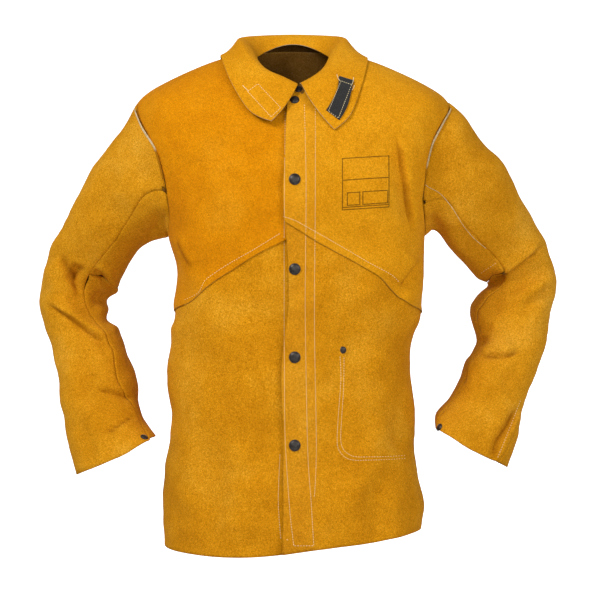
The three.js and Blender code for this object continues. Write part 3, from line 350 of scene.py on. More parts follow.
# Takes out the diagonals. Each cell's diagonal runs the same way across the net
def squareUp(skin):
    corner = next(v for v in skin.verts if len(v.link_edges) == 2)
    first = corner.link_faces[0]
    known = {first: next(e for e in first.edges if corner not in e.verts)}
    reached = [first]
    while reached:
        face = reached.pop()
        diagonal = known[face]
        for edge in face.edges:
            for other in edge.link_faces:
                if other in known:
                    continue
                if edge == diagonal:
                    known[other] = edge
                else:
                    off = next(v for v in edge.verts if v not in diagonal.verts)
                    known[other] = next(e for e in other.edges if e != edge and off in e.verts)
                reached.append(other)
    bmesh.ops.dissolve_edges(skin, edges=list(set(known.values())), use_verts=False)


def refined(skin, name, levels):
    mesh = bpy.data.meshes.new(name)
    skin.to_mesh(mesh)
    skin.free()
    piece = bpy.data.objects.new(name, mesh)
    bpy.context.collection.objects.link(piece)
    even = piece.modifiers.new("even", "SUBSURF")
    even.levels = even.render_levels = levels
    even.boundary_smooth = "PRESERVE_CORNERS"
    ready = bpy.data.meshes.new_from_object(piece.evaluated_get(bpy.context.evaluated_depsgraph_get()))
    piece.modifiers.clear()
    piece.data = ready
    piece.data.name = name
    return piece


# Every leather piece: its finish, its cut edge, and the flat piece it was cut from, in metres.
leather = {
    "right_front_yoke": {"finish": "rightYoke", "flat": (0.26, 0.44), "area": 0.090},
    "left_front_yoke": {"finish": "leftYoke", "flat": (0.26, 0.43), "area": 0.089},
    "right_front_panel": {"finish": "low", "flat": (0.27, 0.50), "area": 0.121},
    "left_front_panel": {"finish": "lowLeft", "flat": (0.26, 0.48), "area": 0.111},
    "back_yoke": {"finish": "rightYoke", "flat": (0.56, 0.47), "area": 0.207},
    "back_panel": {"finish": "low", "flat": (0.43, 0.44), "area": 0.176},
    "right_front_facing": {"finish": "low", "flat": (0.037, 0.68), "area": 0.0241},
    "left_front_facing": {"finish": "low", "flat": (0.037, 0.68), "area": 0.0243},
    "right_sleeve_top": {"finish": "sleeve", "flat": (0.34, 0.52), "area": 0.133},
    "right_sleeve_under_upper": {"finish": "sleeve", "flat": (0.20, 0.25), "area": 0.0295},
    "right_sleeve_under_lower": {"finish": "sleeve", "flat": (0.16, 0.33), "area": 0.0459},
    "left_sleeve_top": {"finish": "sleeve", "flat": (0.34, 0.52), "area": 0.129},
    "left_sleeve_under_upper": {"finish": "sleeve", "flat": (0.20, 0.25), "area": 0.0303},
    "left_sleeve_under_lower": {"finish": "sleeve", "flat": (0.19, 0.36), "area": 0.0588},
    "collar": {"finish": "collar", "edge": "cream", "flat": (0.55, 0.14), "area": 0.0584},
    "inner_pocket": {"finish": "low", "flat": (0.12, 0.16), "area": 0.0166},
    "neck_tab": {"finish": "collar", "edge": "cream", "flat": (0.019, 0.0185), "area": 0.00034},
    "right_armhole_welt": {"finish": "rightWelt", "edge": "rightWelt", "thick": 0.0011},
    "left_armhole_welt": {"finish": "leftWelt", "edge": "leftWelt", "thick": 0.0011},
    "collar_hook_patch": {"finish": "hook", "edge": "hook", "thick": 0.0016, "flat": (0.027, 0.063), "area": 0.0016},
    "collar_loop_patch": {"finish": "hook", "edge": "hook", "thick": 0.0016, "flat": (0.022, 0.057), "area": 0.0012},
}
levels = 3
pieces = {name: refined(outerSkin(name), f"suede_{name}", levels) for name in leather}
print("leather cut", sum(len(p.data.polygons) for p in pieces.values()), "cells")


def pointsOf(piece):
    flat = np.empty(len(piece.data.vertices) * 3)
    piece.data.vertices.foreach_get("co", flat)
    return flat.reshape(-1, 3)


def setPoints(piece, points):
    piece.data.vertices.foreach_set("co", points.ravel())
    piece.data.update()


def normalsOf(piece):
    flat = np.empty(len(piece.data.vertices) * 3)
    piece.data.vertex_normals.foreach_get("vector", flat)
    return flat.reshape(-1, 3)


# The ends of every free edge of a piece
def rimOf(piece):
    mesh = piece.data
    used = np.empty(len(mesh.loops), dtype=int)
    mesh.loops.foreach_get("edge_index", used)
    ends = np.empty(len(mesh.edges) * 2, dtype=int)
    mesh.edges.foreach_get("vertices", ends)
    free = np.bincount(used, minlength=len(mesh.edges)) == 1
    return ends.reshape(-1, 2)[free]


def treeOf(points):
    tree = KDTree(len(points))
    for i, point in enumerate(points):
        tree.insert(point, i)
    tree.balance()
    return tree


# Seams: each pair is drawn together from both sides and turned in a little, as sewn leather is.
# reach is how far apart the edges may lie, share how much of the way the first piece goes.
seams = [
    {"first": ["right_front_yoke", "left_front_yoke"], "second": ["back_yoke"], "reach": 9, "share": 0.5, "ease": 14},
    {"first": ["right_front_panel", "left_front_panel"], "second": ["back_panel"], "reach": 9, "share": 0.5, "ease": 14},
    {"first": ["right_sleeve_top", "right_sleeve_under_upper"], "second": ["right_front_yoke", "back_yoke"],
     "reach": 18, "share": 0.9, "ease": 34},
    {"first": ["left_sleeve_top", "left_sleeve_under_upper"], "second": ["left_front_yoke", "back_yoke"],
     "reach": 18, "share": 0.9, "ease": 34},
    {"first": ["right_sleeve_top"], "second": ["right_sleeve_under_upper", "right_sleeve_under_lower"],
     "reach": 9, "share": 0.5, "ease": 14},
    {"first": ["left_sleeve_top"], "second": ["left_sleeve_under_upper", "left_sleeve_under_lower"],
     "reach": 9, "share": 0.5, "ease": 14},
    {"first": ["right_sleeve_under_upper"], "second": ["right_sleeve_under_lower"], "reach": 18, "share": 0.5, "ease": 18},
    {"first": ["left_sleeve_under_upper"], "second": ["left_sleeve_under_lower"], "reach": 9, "share": 0.5, "ease": 14},
]
seamLook = {"apart": 0.0005, "turnedIn": 0.0013, "roundOver": 0.006}


def drawTogether(seam):
    groups = [seam["first"], seam["second"]]
    shares = [seam["share"], 1 - seam["share"]]
    rims = []
    for group in groups:
        found = []
        for name in group:
            points = pointsOf(pieces[name])
            for a, b in rimOf(pieces[name]):
                found += [points[a], (points[a] + points[b]) / 2]
        rims.append(found)
    trees = [treeOf(found) for found in rims]
    for side, group in enumerate(groups):
        for name in group:
            piece = pieces[name]
            points, normals = pointsOf(piece), normalsOf(piece)
            moved, moves, inward = [], [], []
            for i in sorted(set(rimOf(piece).ravel())):
                near, _, apart = trees[1 - side].find(points[i])
                if apart < seam["reach"] / 1000:
                    moved.append(points[i])
                    whole = np.array(near) - points[i]
                    moves.append(whole * max(0, 1 - seamLook["apart"] / max(apart, 1e-6)) * shares[side])
                    inward.append(normals[i])
            if not moved:
                continue
            tree = treeOf(moved)
            ease = seam["ease"] / 1000
            for i, point in enumerate(points.copy()):
                _, k, apart = tree.find(point)
                if apart < ease:
                    points[i] += moves[k] * (1 - apart / ease) ** 2
                if apart < seamLook["roundOver"]:
                    points[i] -= normals[i] * seamLook["turnedIn"] * (1 - apart / seamLook["roundOver"]) ** 2.2
            setPoints(piece, points)


# Folds of the front, as lines in the view. deep is the height in millimetres, below zero for a
# crease, wide its half width, lip the height of the ridge on the line's left, step how much higher
# the leather lies on the left than on the right.
folds = {
    "body": [
        {"line": [(396, 132), (402, 155), (406, 182), (411, 206), (413, 236)], "deep": -5, "wide": 11, "lip": 3},
        {"line": [(417, 256), (408, 270), (398, 287)], "deep": -3, "wide": 8, "lip": -5},
        {"line": [(421, 292), (410, 296), (402, 293)], "deep": 3, "wide": 10, "lip": 0},
        {"line": [(418, 320), (400, 330), (378, 350)], "deep": -2.5, "wide": 16, "lip": 0},
        {"line": [(407, 392), (398, 425), (396, 455)], "deep": -4, "wide": 11, "lip": 0},
        {"line": [(386, 380), (380, 420), (386, 460)], "deep": 2.5, "wide": 16, "lip": 0},
        {"line": [(178, 236), (185, 252), (194, 268)], "deep": 3, "wide": 9, "lip": -1},
        {"line": [(172, 258), (182, 280), (193, 300)], "deep": -2.5, "wide": 10, "lip": 0},
        {"line": [(192, 150), (200, 190), (214, 230)], "deep": -2, "wide": 14, "lip": 0},
        {"line": [(178, 330), (190, 352), (206, 372)], "deep": -2, "wide": 14, "lip": 0},
        {"line": [(182, 420), (190, 470), (186, 520)], "deep": 3, "wide": 14, "lip": 0},
        {"line": [(206, 430), (214, 490), (212, 550)], "deep": -2, "wide": 16, "lip": 0},
        {"line": [(236, 440), (240, 500), (238, 552)], "deep": 2, "wide": 18, "lip": 0},
        {"line": [(352, 470), (348, 510), (350, 548)], "deep": 2, "wide": 18, "lip": 0},
        {"line": [(392, 470), (396, 510), (398, 545)], "deep": 3, "wide": 12, "lip": 0},
        {"line": [(374, 480), (376, 520), (378, 548)], "deep": -2.5, "wide": 12, "lip": 0},
        {"line": [(240, 110), (250, 150), (252, 190)], "deep": 1.2, "wide": 20, "lip": 0},
        {"line": [(332, 250), (345, 215), (372, 190)], "deep": -1, "wide": 22, "lip": 0},
    ],
    "right": [
        {"line": [(56, 256), (66, 272), (73, 287), (80, 296)], "deep": -6, "wide": 5, "lip": -4},
        {"line": [(78, 265), (73, 276), (70, 284)], "deep": -8, "wide": 6, "lip": 0},
        {"line": [(46, 262), (53, 280), (60, 296)], "deep": 3, "wide": 8, "lip": 0},
        {"line": [(46, 301), (64, 313), (84, 326), (100, 338), (108, 346)], "deep": -3.2, "wide": 4.5, "lip": 5},
        {"line": [(93, 270), (103, 279), (109, 290), (113, 300)], "deep": -8, "wide": 4, "lip": 0},
        {"line": [(96, 268), (108, 276), (116, 288)], "deep": 4, "wide": 6, "lip": 0},
        {"line": [(104, 298), (112, 297), (120, 302)], "deep": -6, "wide": 4, "lip": 0},
        {"line": [(105, 312), (113, 318), (122, 322)], "deep": 4, "wide": 6, "lip": 0},
        {"line": [(112, 332), (120, 333), (128, 330)], "deep": -5, "wide": 5, "lip": 0},
        {"line": [(104, 350), (122, 356), (134, 352)], "deep": 3, "wide": 8, "lip": 0},
        {"line": [(96, 388), (116, 392), (134, 398)], "deep": -3, "wide": 6, "lip": 1.5},
        {"line": [(106, 436), (117, 428), (128, 421), (137, 416)], "deep": -3, "wide": 6, "lip": -2},
        {"line": [(76, 420), (88, 440), (92, 462)], "deep": -2.5, "wide": 8, "lip": 0},
        {"line": [(62, 350), (72, 384), (76, 420)], "deep": 2, "wide": 12, "lip": 0},
        {"line": [(84, 350), (92, 378), (90, 410)], "deep": -1.6, "wide": 12, "lip": 0},
        {"line": [(92, 190), (112, 215), (118, 240)], "deep": -2, "wide": 14, "lip": 0},
        {"line": [(150, 120), (140, 160), (146, 190)], "deep": -2, "wide": 14, "lip": 0},
        {"line": [(166, 208), (158, 228), (145, 246)], "deep": -3, "wide": 7, "lip": 0},
    ],
    "left": [
        {"line": [(543, 240), (535, 251), (523, 262), (508, 272), (494, 280), (484, 288)], "deep": -5, "wide": 4.5, "lip": -6},
        {"line": [(552, 260), (540, 272), (522, 281), (505, 292)], "deep": -3.5, "wide": 8, "lip": 0},
        {"line": [(553, 282), (545, 294), (532, 302), (520, 312)], "deep": -4, "wide": 6, "lip": 0},
        {"line": [(556, 270), (548, 283), (534, 291), (516, 302)], "deep": 3, "wide": 7, "lip": 0},
        {"line": [(474, 302), (486, 308), (502, 307)], "deep": -2, "wide": 7, "lip": 0},
        {"line": [(476, 296), (474, 308), (477, 322)], "deep": -2.5, "wide": 4, "lip": 0},
        {"line": [(474, 330), (484, 329), (494, 326)], "deep": -2, "wide": 5, "lip": 0},
        {"line": [(480, 358), (492, 356), (506, 355), (520, 350)], "deep": -3.5, "wide": 4.5, "lip": 3},
        {"line": [(476, 346), (494, 345), (514, 342)], "deep": 3, "wide": 9, "lip": 0},
        {"line": [(472, 357), (470, 370), (466, 386)], "deep": -2.5, "wide": 4, "lip": 1},
        {"line": [(500, 384), (514, 376), (524, 366)], "deep": -2.5, "wide": 10, "lip": 0},
        {"line": [(470, 412), (486, 400), (504, 398)], "deep": -2, "wide": 12, "lip": 0},
        {"line": [(520, 405), (510, 424), (500, 440), (494, 462)], "deep": -5, "wide": 6, "lip": 4},
        {"line": [(470, 130), (480, 160), (476, 190)], "deep": -2, "wide": 16, "lip": 0},
        {"line": [(438, 150), (444, 176), (440, 200)], "deep": -2.5, "wide": 10, "lip": 0},
        {"line": [(430, 212), (436, 226), (444, 238)], "deep": -3.5, "wide": 6, "lip": 0},
        {"line": [(456, 228), (462, 244), (472, 258)], "deep": -1.5, "wide": 8, "lip": 0},
    ],
    "collar": [
        {"line": [(238, 60), (246, 76), (262, 92)], "deep": -1.2, "wide": 8, "lip": 0},
        {"line": [(350, 52), (342, 66), (336, 78)], "deep": -1.0, "wide": 6, "lip": 0},
        {"line": [(362, 66), (358, 90), (350, 112)], "deep": 1.0, "wide": 8, "lip": 0},
    ],
}
# Folds of the back, in millimetres: across to the wearer's left, and up.
backFolds = [
    {"line": [(-120, -110), (-70, -170), (-30, -240)], "deep": -3, "wide": 22},
    {"line": [(120, -110), (70, -170), (30, -240)], "deep": -3, "wide": 22},
    {"line": [(-170, -230), (-130, -270), (-60, -290)], "deep": -4, "wide": 16},
    {"line": [(170, -230), (130, -275), (70, -300)], "deep": -4, "wide": 16},
    {"line": [(-110, -330), (0, -350), (100, -335)], "deep": 3, "wide": 20},
    {"line": [(-150, -400), (-60, -430), (40, -425)], "deep": -3.5, "wide": 16},
    {"line": [(160, -420), (90, -450), (0, -460)], "deep": -3, "wide": 16},
    {"line": [(-90, -500), (-100, -600), (-96, -720)], "deep": 4, "wide": 24},
    {"line": [(20, -500), (26, -600), (20, -720)], "deep": -4, "wide": 26},
    {"line": [(110, -500), (120, -610), (112, -720)], "deep": 4, "wide": 24},
]
# Folds across the back of each bent sleeve.
sleeveBackFolds = [
    {"line": [(-330, -300), (-290, -330), (-250, -320)], "deep": -4, "wide": 10},
    {"line": [(-360, -350), (-320, -372), (-270, -360)], "deep": 4, "wide": 12},
    {"line": [(-350, -400), (-310, -405), (-270, -392)], "deep": -3.5, "wide": 9},
    {"line": [(-300, -470), (-260, -480), (-230, -470)], "deep": -3, "wide": 12},
    {"line": [(-290, -180), (-250, -230), (-215, -250)], "deep": -3, "wide": 14},
]


# Distance of places from a line, which side they lie on, and how far along it they are
def alongLine(places, line):
    line = np.array(line, dtype=float)
    lengths = np.linalg.norm(np.diff(line, axis=0), axis=1)
    starts = np.concatenate([[0], np.cumsum(lengths)])
    best = np.full(len(places), 1e9)
    side, along = np.zeros(len(places)), np.zeros(len(places))
    for start, end, length, before in zip(line[:-1], line[1:], lengths, starts):
        way = (end - start) / length
        at = np.clip((places - start) @ way, 0, length)
        off = places - start - at[:, None] * way
        apart = np.linalg.norm(off, axis=1)
        closer = apart < best
        best[closer] = apart[closer]
        side[closer] = np.sign(way[0] * off[closer, 1] - way[1] * off[closer, 0])
        along[closer] = (before + at[closer]) / starts[-1]
    return best, side, along


# The fold's height in millimetres at places given in millimetres, and how much painted shade darkens its crease
def foldHeight(places, fold):
    apart, side, along = alongLine(places, fold["line"])
    ends = np.clip(np.minimum(along, 1 - along) / 0.22, 0, 1)
    ends = ends * ends * (3 - 2 * ends) * (along > 0) * (along < 1)
    wide, lip = fold["wide"], fold.get("lip", 0)
    valley = fold["deep"] * np.exp(-((apart / wide) ** 2))
    if not lip:
        return valley * ends, np.zeros(len(apart))
    ridge = abs(lip) * np.exp(-((apart / (2.4 * wide)) ** 2))
    over = 0.5 * (1 - np.tanh(math.copysign(1, lip) * side * apart / 1.8))  # 1 on the ridge's side
    # Painted shade: a dark line just beside the crease, on the side away from the ridge
    crease = np.exp(-(((apart - 1.5) / 2.6) ** 2)) * (1 - over) * min(1, abs(fold["deep"]) / 5)
    return (ridge * over + valley * (1 - over)) * ends, crease * ends


# Bulges and nips inside the bent elbows: across and down in the view, reach and height in millimetres.
bulges = {
    "right": [(113, 289, 11, 7), (101, 299, 8, -9), (106, 309, 9, 4), (108, 319, 8, -4), (114, 330, 10, 4), (98, 281, 6, -3)],
    "left": [(474, 310, 16, 5), (484, 342, 9, -8), (494, 278, 8, -5), (486, 292, 10, 3), (470, 366, 14, 3)],
    "body": [(176, 318, 14, -5), (174, 340, 16, -3), (412, 318, 16, 3), (415, 350, 18, -3)],
}

rng = np.random.default_rng(7)


# Gentle unevenness: waves of one length in many directions
def swell(points, wave, height, count=22):
    total = np.zeros(len(points))
    for _ in range(count):
        way = rng.normal(size=3)
        way *= 2 * math.pi / (wave * rng.uniform(0.7, 1.4) * np.linalg.norm(way))
        total += np.sin(points @ way + rng.uniform(0, 2 * math.pi))
    return total * height / math.sqrt(count / 2)


swellLook = [{"wave": 0.13, "height": 0.0022}, {"wave": 0.06, "height": 0.0009}, {"wave": 0.022, "height": 0.00018}]


def groupOf(name):
    if "sleeve" in name:
        return "right" if name.startswith("right") else "left"
    return "collar" if "collar" in name or "tab" in name else "body"


def addFolds():
    names = list(pieces)
    counts = [len(pieces[name].data.vertices) for name in names]
    points = np.concatenate([pointsOf(pieces[name]) for name in names])
    normals = np.concatenate([normalsOf(pieces[name]) for name in names])
    owner = np.repeat(np.arange(len(names)), counts)
    level = points * [1, 0.0, 1] + normals * 0.02  # layers over each other share one height
    height = sum(swell(level, part["wave"], part["height"]) for part in swellLook)
    height *= np.clip((-0.03 - points[:, 2]) / 0.12, 0, 1)  # the leather lies still round the neck
    creaseShade = np.zeros(len(points))
    view = viewOf(points) * 1.5
    front = np.clip(-normals[:, 1] * 1.8, 0, 1)
    back = np.clip(normals[:, 1] * 1.8, 0, 1)
    flat = points[:, [0, 2]] * 1000
    groups = np.array([groupOf(name) for name in names])[owner]
    for group, table in folds.items():
        here = groups == group
        for fold in table:
            fold = {"line": np.array(fold["line"]) * 1.5, "wide": fold["wide"] * 1.4, "deep": fold["deep"] * 1.5,
                    "lip": fold["lip"] * 1.5}
            rise, printWearAndCreaseShade = foldHeight(view[here], fold)
            height[here] += rise * front[here] / 1000
            creaseShade[here] = np.maximum(creaseShade[here], printWearAndCreaseShade * front[here])
    for group, table in bulges.items():
        here = groups == group
        for x, y, wide, high in table:
            apart = np.linalg.norm(view[here] - [x * 1.5, y * 1.5], axis=1)
            height[here] += high / 1000 * np.exp(-((apart / wide) ** 2))
    here = groups == "body"
    for fold in backFolds:
        height[here] += foldHeight(flat[here], fold)[0] * back[here] / 1000
    for sign, group in ((1, "right"), (-1, "left")):
        here = groups == group
        places = flat[here] * [sign, 1]
        for fold in sleeveBackFolds:
            height[here] += foldHeight(places, fold)[0] * back[here] / 1000
    height[groups == "collar"] *= 0.35
    height[np.isin(owner, [names.index(side + "_armhole_welt") for side in ("right", "left")])] = 0
    points = points + normals * height[:, None]
    at = 0
    for name, count in zip(names, counts):
        setPoints(pieces[name], points[at:at + count])
        # The crease attribute carries the painted crease shade to the leather's finish
        marks = pieces[name].data.attributes.new("crease", "FLOAT", "POINT")
        marks.data.foreach_set("value", creaseShade[at:at + count].astype(np.float32))
        at += count


addFolds()
print("folds laid")
for seam in seams:
    drawTogether(seam)
for side in ("right", "left"):  # the pale edge stays under the shoulder's outline
    edge = pointsOf(pieces[side + "_armhole_welt"])
    over = np.clip(edge[:, 2] + 0.072, 0, None)
    edge[:, 2] -= over * 0.9
    setPoints(pieces[side + "_armhole_welt"], edge)
print("seams closed")


def dress(name, facts):
    piece = pieces[name]
    special = {"rightWelt": rightWelt, "leftWelt": leftWelt, "hook": hook}
    outer = special.get(facts["finish"]) or finishes[facts["finish"]]
    # The inner faces take the flesh side, darkened as painted shade
    inner = outer if facts["finish"] in special else fleshInPaintedShade
    edge = {**special, "cream": edgeCream}.get(facts.get("edge"), edgeTan)
    for material in (outer, inner, edge):
        piece.data.materials.append(material)
    for face in piece.data.polygons:
        face.use_smooth = True
        face.material_index = 0
    wall = piece.modifiers.new("thickness", "SOLIDIFY")
    wall.thickness = facts.get("thick", 0.0014)
    wall.offset = -1
    wall.use_rim = True
    wall.material_offset = 1
    wall.material_offset_rim = 2
    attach(piece, "root")
    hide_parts(name)


for name, facts in leather.items():
    dress(name, facts)
print("leather dressed")

# ---------- stitches


# What a line of sight meets: the outer faces of all leather, patches and welts
def skinTree():
    corners, faces, at = [], [], 0
    for piece in pieces.values():
        points = pointsOf(piece)
        corners += [tuple(point) for point in points]
        faces += [[at + v for v in face.vertices] for face in piece.data.polygons]
        at += len(points)
    return BVHTree.FromPolygons(corners, faces)


skin = skinTree()


# Points along a line at an even pitch
def evenly(line, pitch):
    line = np.array(line, dtype=float)
    lengths = np.linalg.norm(np.diff(line, axis=0), axis=1)
    starts = np.concatenate([[0], np.cumsum(lengths)])
    count = max(2, round(starts[-1] / pitch))
    return [tuple(np.interp(s, starts, line[:, k]) for k in range(line.shape[1])) for s in np.linspace(0, starts[-1], count)]


# The same line through its points, rounded off
def curved(line):
    line = [np.array(p, dtype=float) for p in line]
    out = []
    for i in range(len(line) - 1):
        a, b, c, d = line[max(i - 1, 0)], line[i], line[i + 1], line[min(i + 2, len(line) - 1)]
        for u in np.linspace(0, 1, 8, endpoint=False):
            out.append(0.5 * ((2 * b) + (c - a) * u + (2 * a - 5 * b + 4 * c - d) * u ** 2 + (3 * b - a - 3 * c + d) * u ** 3))
    return [tuple(p) for p in out] + [tuple(line[-1])]


# Where a line of the view meets the leather: places and normals
def onFront(line, step):
    found = []
    for px, py in evenly(line, step):
        aim = lookAt(px, py) - look["eye"]
        place, normal, _, _ = skin.ray_cast(look["eye"], aim.normalized())
        if place:
            found.append((place, normal if normal.dot(aim) < 0 else -normal))
    return found


def onBack(line, step):
    found = []
    for x, z in evenly(line, step):
        place, normal, _, _ = skin.ray_cast(Vector((x / 1000, 2, z / 1000)), Vector((0, -1, 0)))
        if place:
            found.append((place, normal if normal.y > 0 else -normal))
    return found


stitchLook = {"pitch": 3.6, "long": 0.0024, "thick": 0.0008, "sunk": 0.0001}


# One small thread for each stitch, half sunk into the leather
def sew(name, trails):
    thread3d = bmesh.new()
    for trail in trails:
        for (a, up), (b, _) in zip(trail[:-1], trail[1:]):
            way = b - a
            if way.length > 0.009 or way.length < 1e-5:
                continue
            along = way.normalized()
            side = up.cross(along).normalized()
            top = along.cross(side)
            middle = (a + b) / 2 + top * (stitchLook["thick"] * 0.3 - stitchLook["sunk"])
            turn = Matrix((along, side, top)).transposed().to_4x4()
            size = Matrix.Diagonal((stitchLook["long"] / 2, stitchLook["thick"] / 2, stitchLook["thick"] / 2, 1))
            bmesh.ops.create_uvsphere(thread3d, u_segments=6, v_segments=5, radius=1,
                                      matrix=Matrix.Translation(middle) @ turn @ size @ Matrix.Rotation(math.pi / 2, 4, "Y"))
    mesh = bpy.data.meshes.new(name)
    thread3d.to_mesh(mesh)
    thread3d.free()
    mesh.materials.append(thread)
    for face in mesh.polygons:
        face.use_smooth = True
    made = bpy.data.objects.new(name, mesh)
    bpy.context.collection.objects.link(made)
    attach(made, "root")
    return made


step = stitchLook["pitch"] / 1.434
frontLines = {
    "stitches_placket": [
        curved([(285.2, 112), (284.4, 200), (284.2, 300), (284.6, 400), (285.2, 440), (288, 487), (290.6, 519), (293.8, 545.8)]),
        curved([(304.4, 104), (306, 180), (305.6, 250), (305.3, 320), (307.6, 447), (311, 500), (313.7, 545.8)]),
        curved([(315.3, 108), (315.3, 200), (314.4, 320), (316.3, 447), (314.4, 497)]),
        [(293.8, 545.8), (313.7, 545.8)],
        curved([(280, 454), (278.5, 490), (278.5, 508), (280, 530), (280.8, 539)]),
        [(280.8, 539), (289.5, 540)],
    ],
    "stitches_yoke": [
        curved([(280, 233.4), (253.6, 249.6), (226.8, 265), (207, 278.6), (202.5, 285), (199, 292), (193, 296), (184, 300)]),
        curved([(282.5, 216), (295.8, 220.8), (305.2, 226), (325.7, 237.5), (350.8, 252), (370.4, 263.4), (391, 274.5), (399, 282)]),
    ],
    "stitches_pocket": [
        curved([(340, 356), (340.8, 381), (338, 419.5), (337.2, 442.5), (339.7, 451.6), (347.4, 458.6), (357, 460.4)]),
        [(357, 460.4), (385.6, 459.6), (411, 458)],
        curved([(344, 357), (343.5, 389), (341, 427), (341, 442.5), (344.3, 450.6), (352, 455.9), (360, 457)]),
        [(360, 457), (386.4, 456.6), (411, 455)],
    ],
    "stitches_sleeves": [
        [(480.4, 273.5), (496.4, 262.8)],
        curved([(520.5, 400), (513, 420), (505, 440), (497.5, 458)]),
    ],
}
for name, lines in frontLines.items():
    sew(name, [onFront(line, step) for line in lines])
sew("stitches_back", [onBack(curved(line), stitchLook["pitch"]) for line in (
    [(-172, -369), (-90, -374), (0, -375), (90, -374), (172, -369)],
)])
collarStep = 2.9 / 1.434
wing = [(247.7, 91.4), (257.9, 83.8), (280.8, 107.8), (271.1, 116.9), (247.7, 91.4)]
sew("stitches_collar", [onFront([a, b], collarStep) for a, b in zip(wing[:-1], wing[1:])]
    + [onFront([a, b], collarStep) for a, b in (((341, 81), (351.6, 84.6)), ((351.6, 84.6), (338.4, 118.2)),
                                                ((338.4, 118.2), (328.4, 111.2)), ((328.4, 111.2), (341, 81)))])
print("stitches sewn")

# ---------- loose ends of thread, and the pale seam edges

threadEnds = {
    "thread_end_wing": [(242.8, 85.4), (244.6, 87.6), (246.8, 89.4), (248, 91.6)],
    "thread_end_patch_inner": [(336.9, 74.6), (337.6, 77.2), (338.6, 79.4), (340.4, 81)],
    "thread_end_patch_outer": [(353.6, 77.4), (353.2, 80.6), (352.4, 83.2), (351.6, 85)],
    "thread_end_patch_side": [(354.4, 85.6), (353.2, 88.6), (351.6, 90.2)],
}
edgeLines = {
    "seam_edge_left_underarm": {"line": [(424.2, 182.6), (428, 186.8), (440, 193.6), (451.6, 207), (462, 223.6), (473, 237.4), (486, 248.4)], "thick": 0.0009},
}


# A fine round thread lying on the leather
def threadAlong(name, line, thick, lift, finish, points=None):
    trail = points or onFront(curved(line), 1.2)
    if len(trail) < 2:
        return None
    curve = bpy.data.curves.new(name, "CURVE")
    curve.dimensions = "3D"
    curve.bevel_depth = thick / 2
    curve.bevel_resolution = 1
    spline = curve.splines.new("POLY")
    spline.points.add(len(trail) - 1)
    for point, (place, up) in zip(spline.points, trail):
        point.co = (*(place + up * lift), 1)
    holder = bpy.data.objects.new(name + "_curve", curve)
    bpy.context.collection.objects.link(holder)
    mesh = bpy.data.meshes.new_from_object(holder.evaluated_get(bpy.context.evaluated_depsgraph_get()))
    bpy.data.objects.remove(holder)
    mesh.name = name
    mesh.materials.clear()
    mesh.materials.append(finish)
    for face in mesh.polygons:
        face.use_smooth = True
    made = bpy.data.objects.new(name, mesh)
    bpy.context.collection.objects.link(made)
    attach(made, "root")
    return made


for name, line in threadEnds.items():
    threadAlong(name, line, 0.0008, 0.0003, thread)
for name, facts in edgeLines.items():
    threadAlong(name, facts["line"], facts["thick"], 0.0002, edgeCream)

# ---------- snaps and the rivet

capShape = {
    "steps": 40,
    # out and up as shares of the radius and height, from the crown down to the rolled rim
    "outline": [(0.0, 1.0), (0.3, 0.97), (0.55, 0.88), (0.74, 0.72), (0.83, 0.56), (0.86, 0.44),
                (0.9, 0.42), (0.96, 0.44), (1.0, 0.34), (1.0, 0.14), (0.97, 0.0), (0.0, 0.0)],
}
caps = {
    "front_snap_1": (0.0168, 0.0036), "front_snap_2": (0.0168, 0.0036), "front_snap_3": (0.0168, 0.0036),
    "front_snap_4": (0.0168, 0.0036), "top_snap": (0.0138, 0.003), "neck_snap": (0.0122, 0.0026),
    "right_cuff_snap": (0.0118, 0.0026), "left_cuff_snap": (0.0118, 0.0026), "pocket_rivet": (0.0104, 0.0022),
}


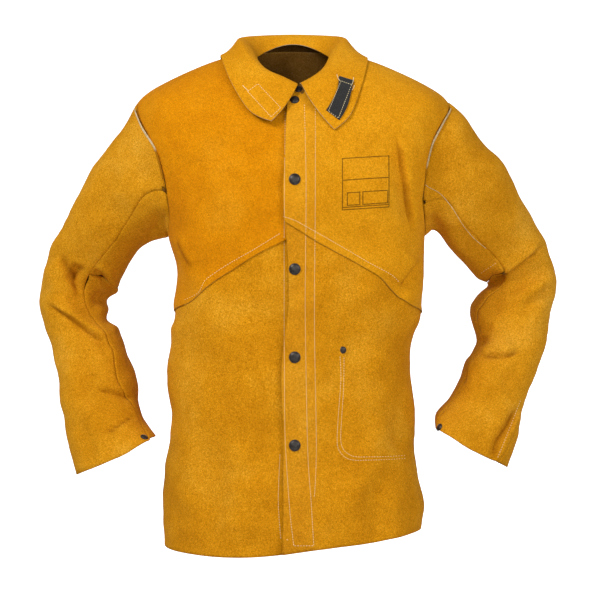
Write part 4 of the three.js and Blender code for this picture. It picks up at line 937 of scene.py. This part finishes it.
def setCap(name, diameter, height):
    low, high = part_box(name)
    middle = (low + high) / 2
    place, up, _, _ = skin.find_nearest(middle)
    corners = np.array([tuple(v.co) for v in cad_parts[name].data.vertices])
    spread = np.linalg.svd(corners - corners.mean(0), full_matrices=False)[2][2]
    axis = Vector(spread)
    if axis.y > 0:
        axis = -axis  # every cap faces the front
    met = skin.ray_cast(middle + axis * 0.012, -axis, 0.03)[0]
    foot = (met or place) - axis * 0.0002
    cap = bmesh.new()
    ring = [cap.verts.new((diameter / 2 * out, 0, height * up)) for out, up in capShape["outline"]]
    for a, b in zip(ring[:-1], ring[1:]):
        cap.edges.new((a, b))
    bmesh.ops.spin(cap, geom=cap.verts[:] + cap.edges[:], cent=(0, 0, 0), axis=(0, 0, 1), dvec=(0, 0, 0),
                   angle=2 * math.pi, steps=capShape["steps"], use_merge=True, use_duplicate=False)
    bmesh.ops.remove_doubles(cap, verts=cap.verts[:], dist=1e-6)
    bmesh.ops.recalc_face_normals(cap, faces=cap.faces[:])
    bmesh.ops.transform(cap, verts=cap.verts[:], matrix=Matrix.Translation(foot) @ axis.to_track_quat("Z", "Y").to_matrix().to_4x4())
    mesh = bpy.data.meshes.new(f"cap_{name}")
    cap.to_mesh(mesh)
    cap.free()
    mesh.materials.append(metal)
    for face in mesh.polygons:
        face.use_smooth = True
    made = bpy.data.objects.new(f"cap_{name}", mesh)
    bpy.context.collection.objects.link(made)
    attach(made, "root")
    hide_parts(name)
    return made


for name, (diameter, height) in caps.items():
    setCap(name, diameter, height)
print("snaps set")

# ---------- floor, backdrop and light

studio = {"floor": -1.68, "reach": 7.0, "world": 0.29}


def plain(name, colour, glow=0.0):
    material, tree, shader = newMaterial(name, 0.9)
    shader.inputs["Base Color"].default_value = (*colour, 1)
    if glow:
        shader.inputs["Emission Color"].default_value = (1, 1, 1, 1)
        shader.inputs["Emission Strength"].default_value = glow
    return material


def sheetOfStage(name, corners, material):
    made = bmesh.new()
    made.faces.new([made.verts.new(c) for c in corners])
    mesh = bpy.data.meshes.new(name)
    made.to_mesh(mesh)
    made.free()
    mesh.materials.append(material)
    holder = bpy.data.objects.new(name, mesh)
    bpy.context.collection.objects.link(holder)


reach, floor = studio["reach"], studio["floor"]
sheetOfStage("floor", [(-reach, -reach, floor), (reach, -reach, floor), (reach, reach, floor), (-reach, reach, floor)],
             plain("pale floor", (0.86, 0.86, 0.86)))
sheetOfStage("backdrop", [(-4, 6, floor), (4, 6, floor), (4, 6, 3), (-4, 6, 3)], plain("white backdrop", (0.9, 0.9, 0.9), 1.05))


def softLight(name, place, aim, size, power):
    light = bpy.data.lights.new(name, "AREA")
    light.shape = "DISK"
    light.size = size
    light.energy = power
    holder = bpy.data.objects.new(name, light)
    holder.location = place
    holder.rotation_euler = (Vector(aim) - Vector(place)).to_track_quat("-Z", "Y").to_euler()
    bpy.context.collection.objects.link(holder)


softLight("key", (-1.5, -1.7, 1.5), (0, 0, -0.4), 1.0, 50)
softLight("fill", (1.9, -1.9, 0.5), (0, 0, -0.4), 1.4, 26)
softLight("front", (0.2, -3.4, 0.2), (0, 0, -0.4), 2.4, 21)
world = bpy.data.worlds.new("room")
world.use_nodes = True
world.node_tree.nodes["Background"].inputs["Color"].default_value = (1, 1, 1, 1)
world.node_tree.nodes["Background"].inputs["Strength"].default_value = studio["world"]
bpy.context.scene.world = world

bpy.context.scene.view_settings.view_transform = "Standard"  # keeps the leather's full colour

print("scene ready")
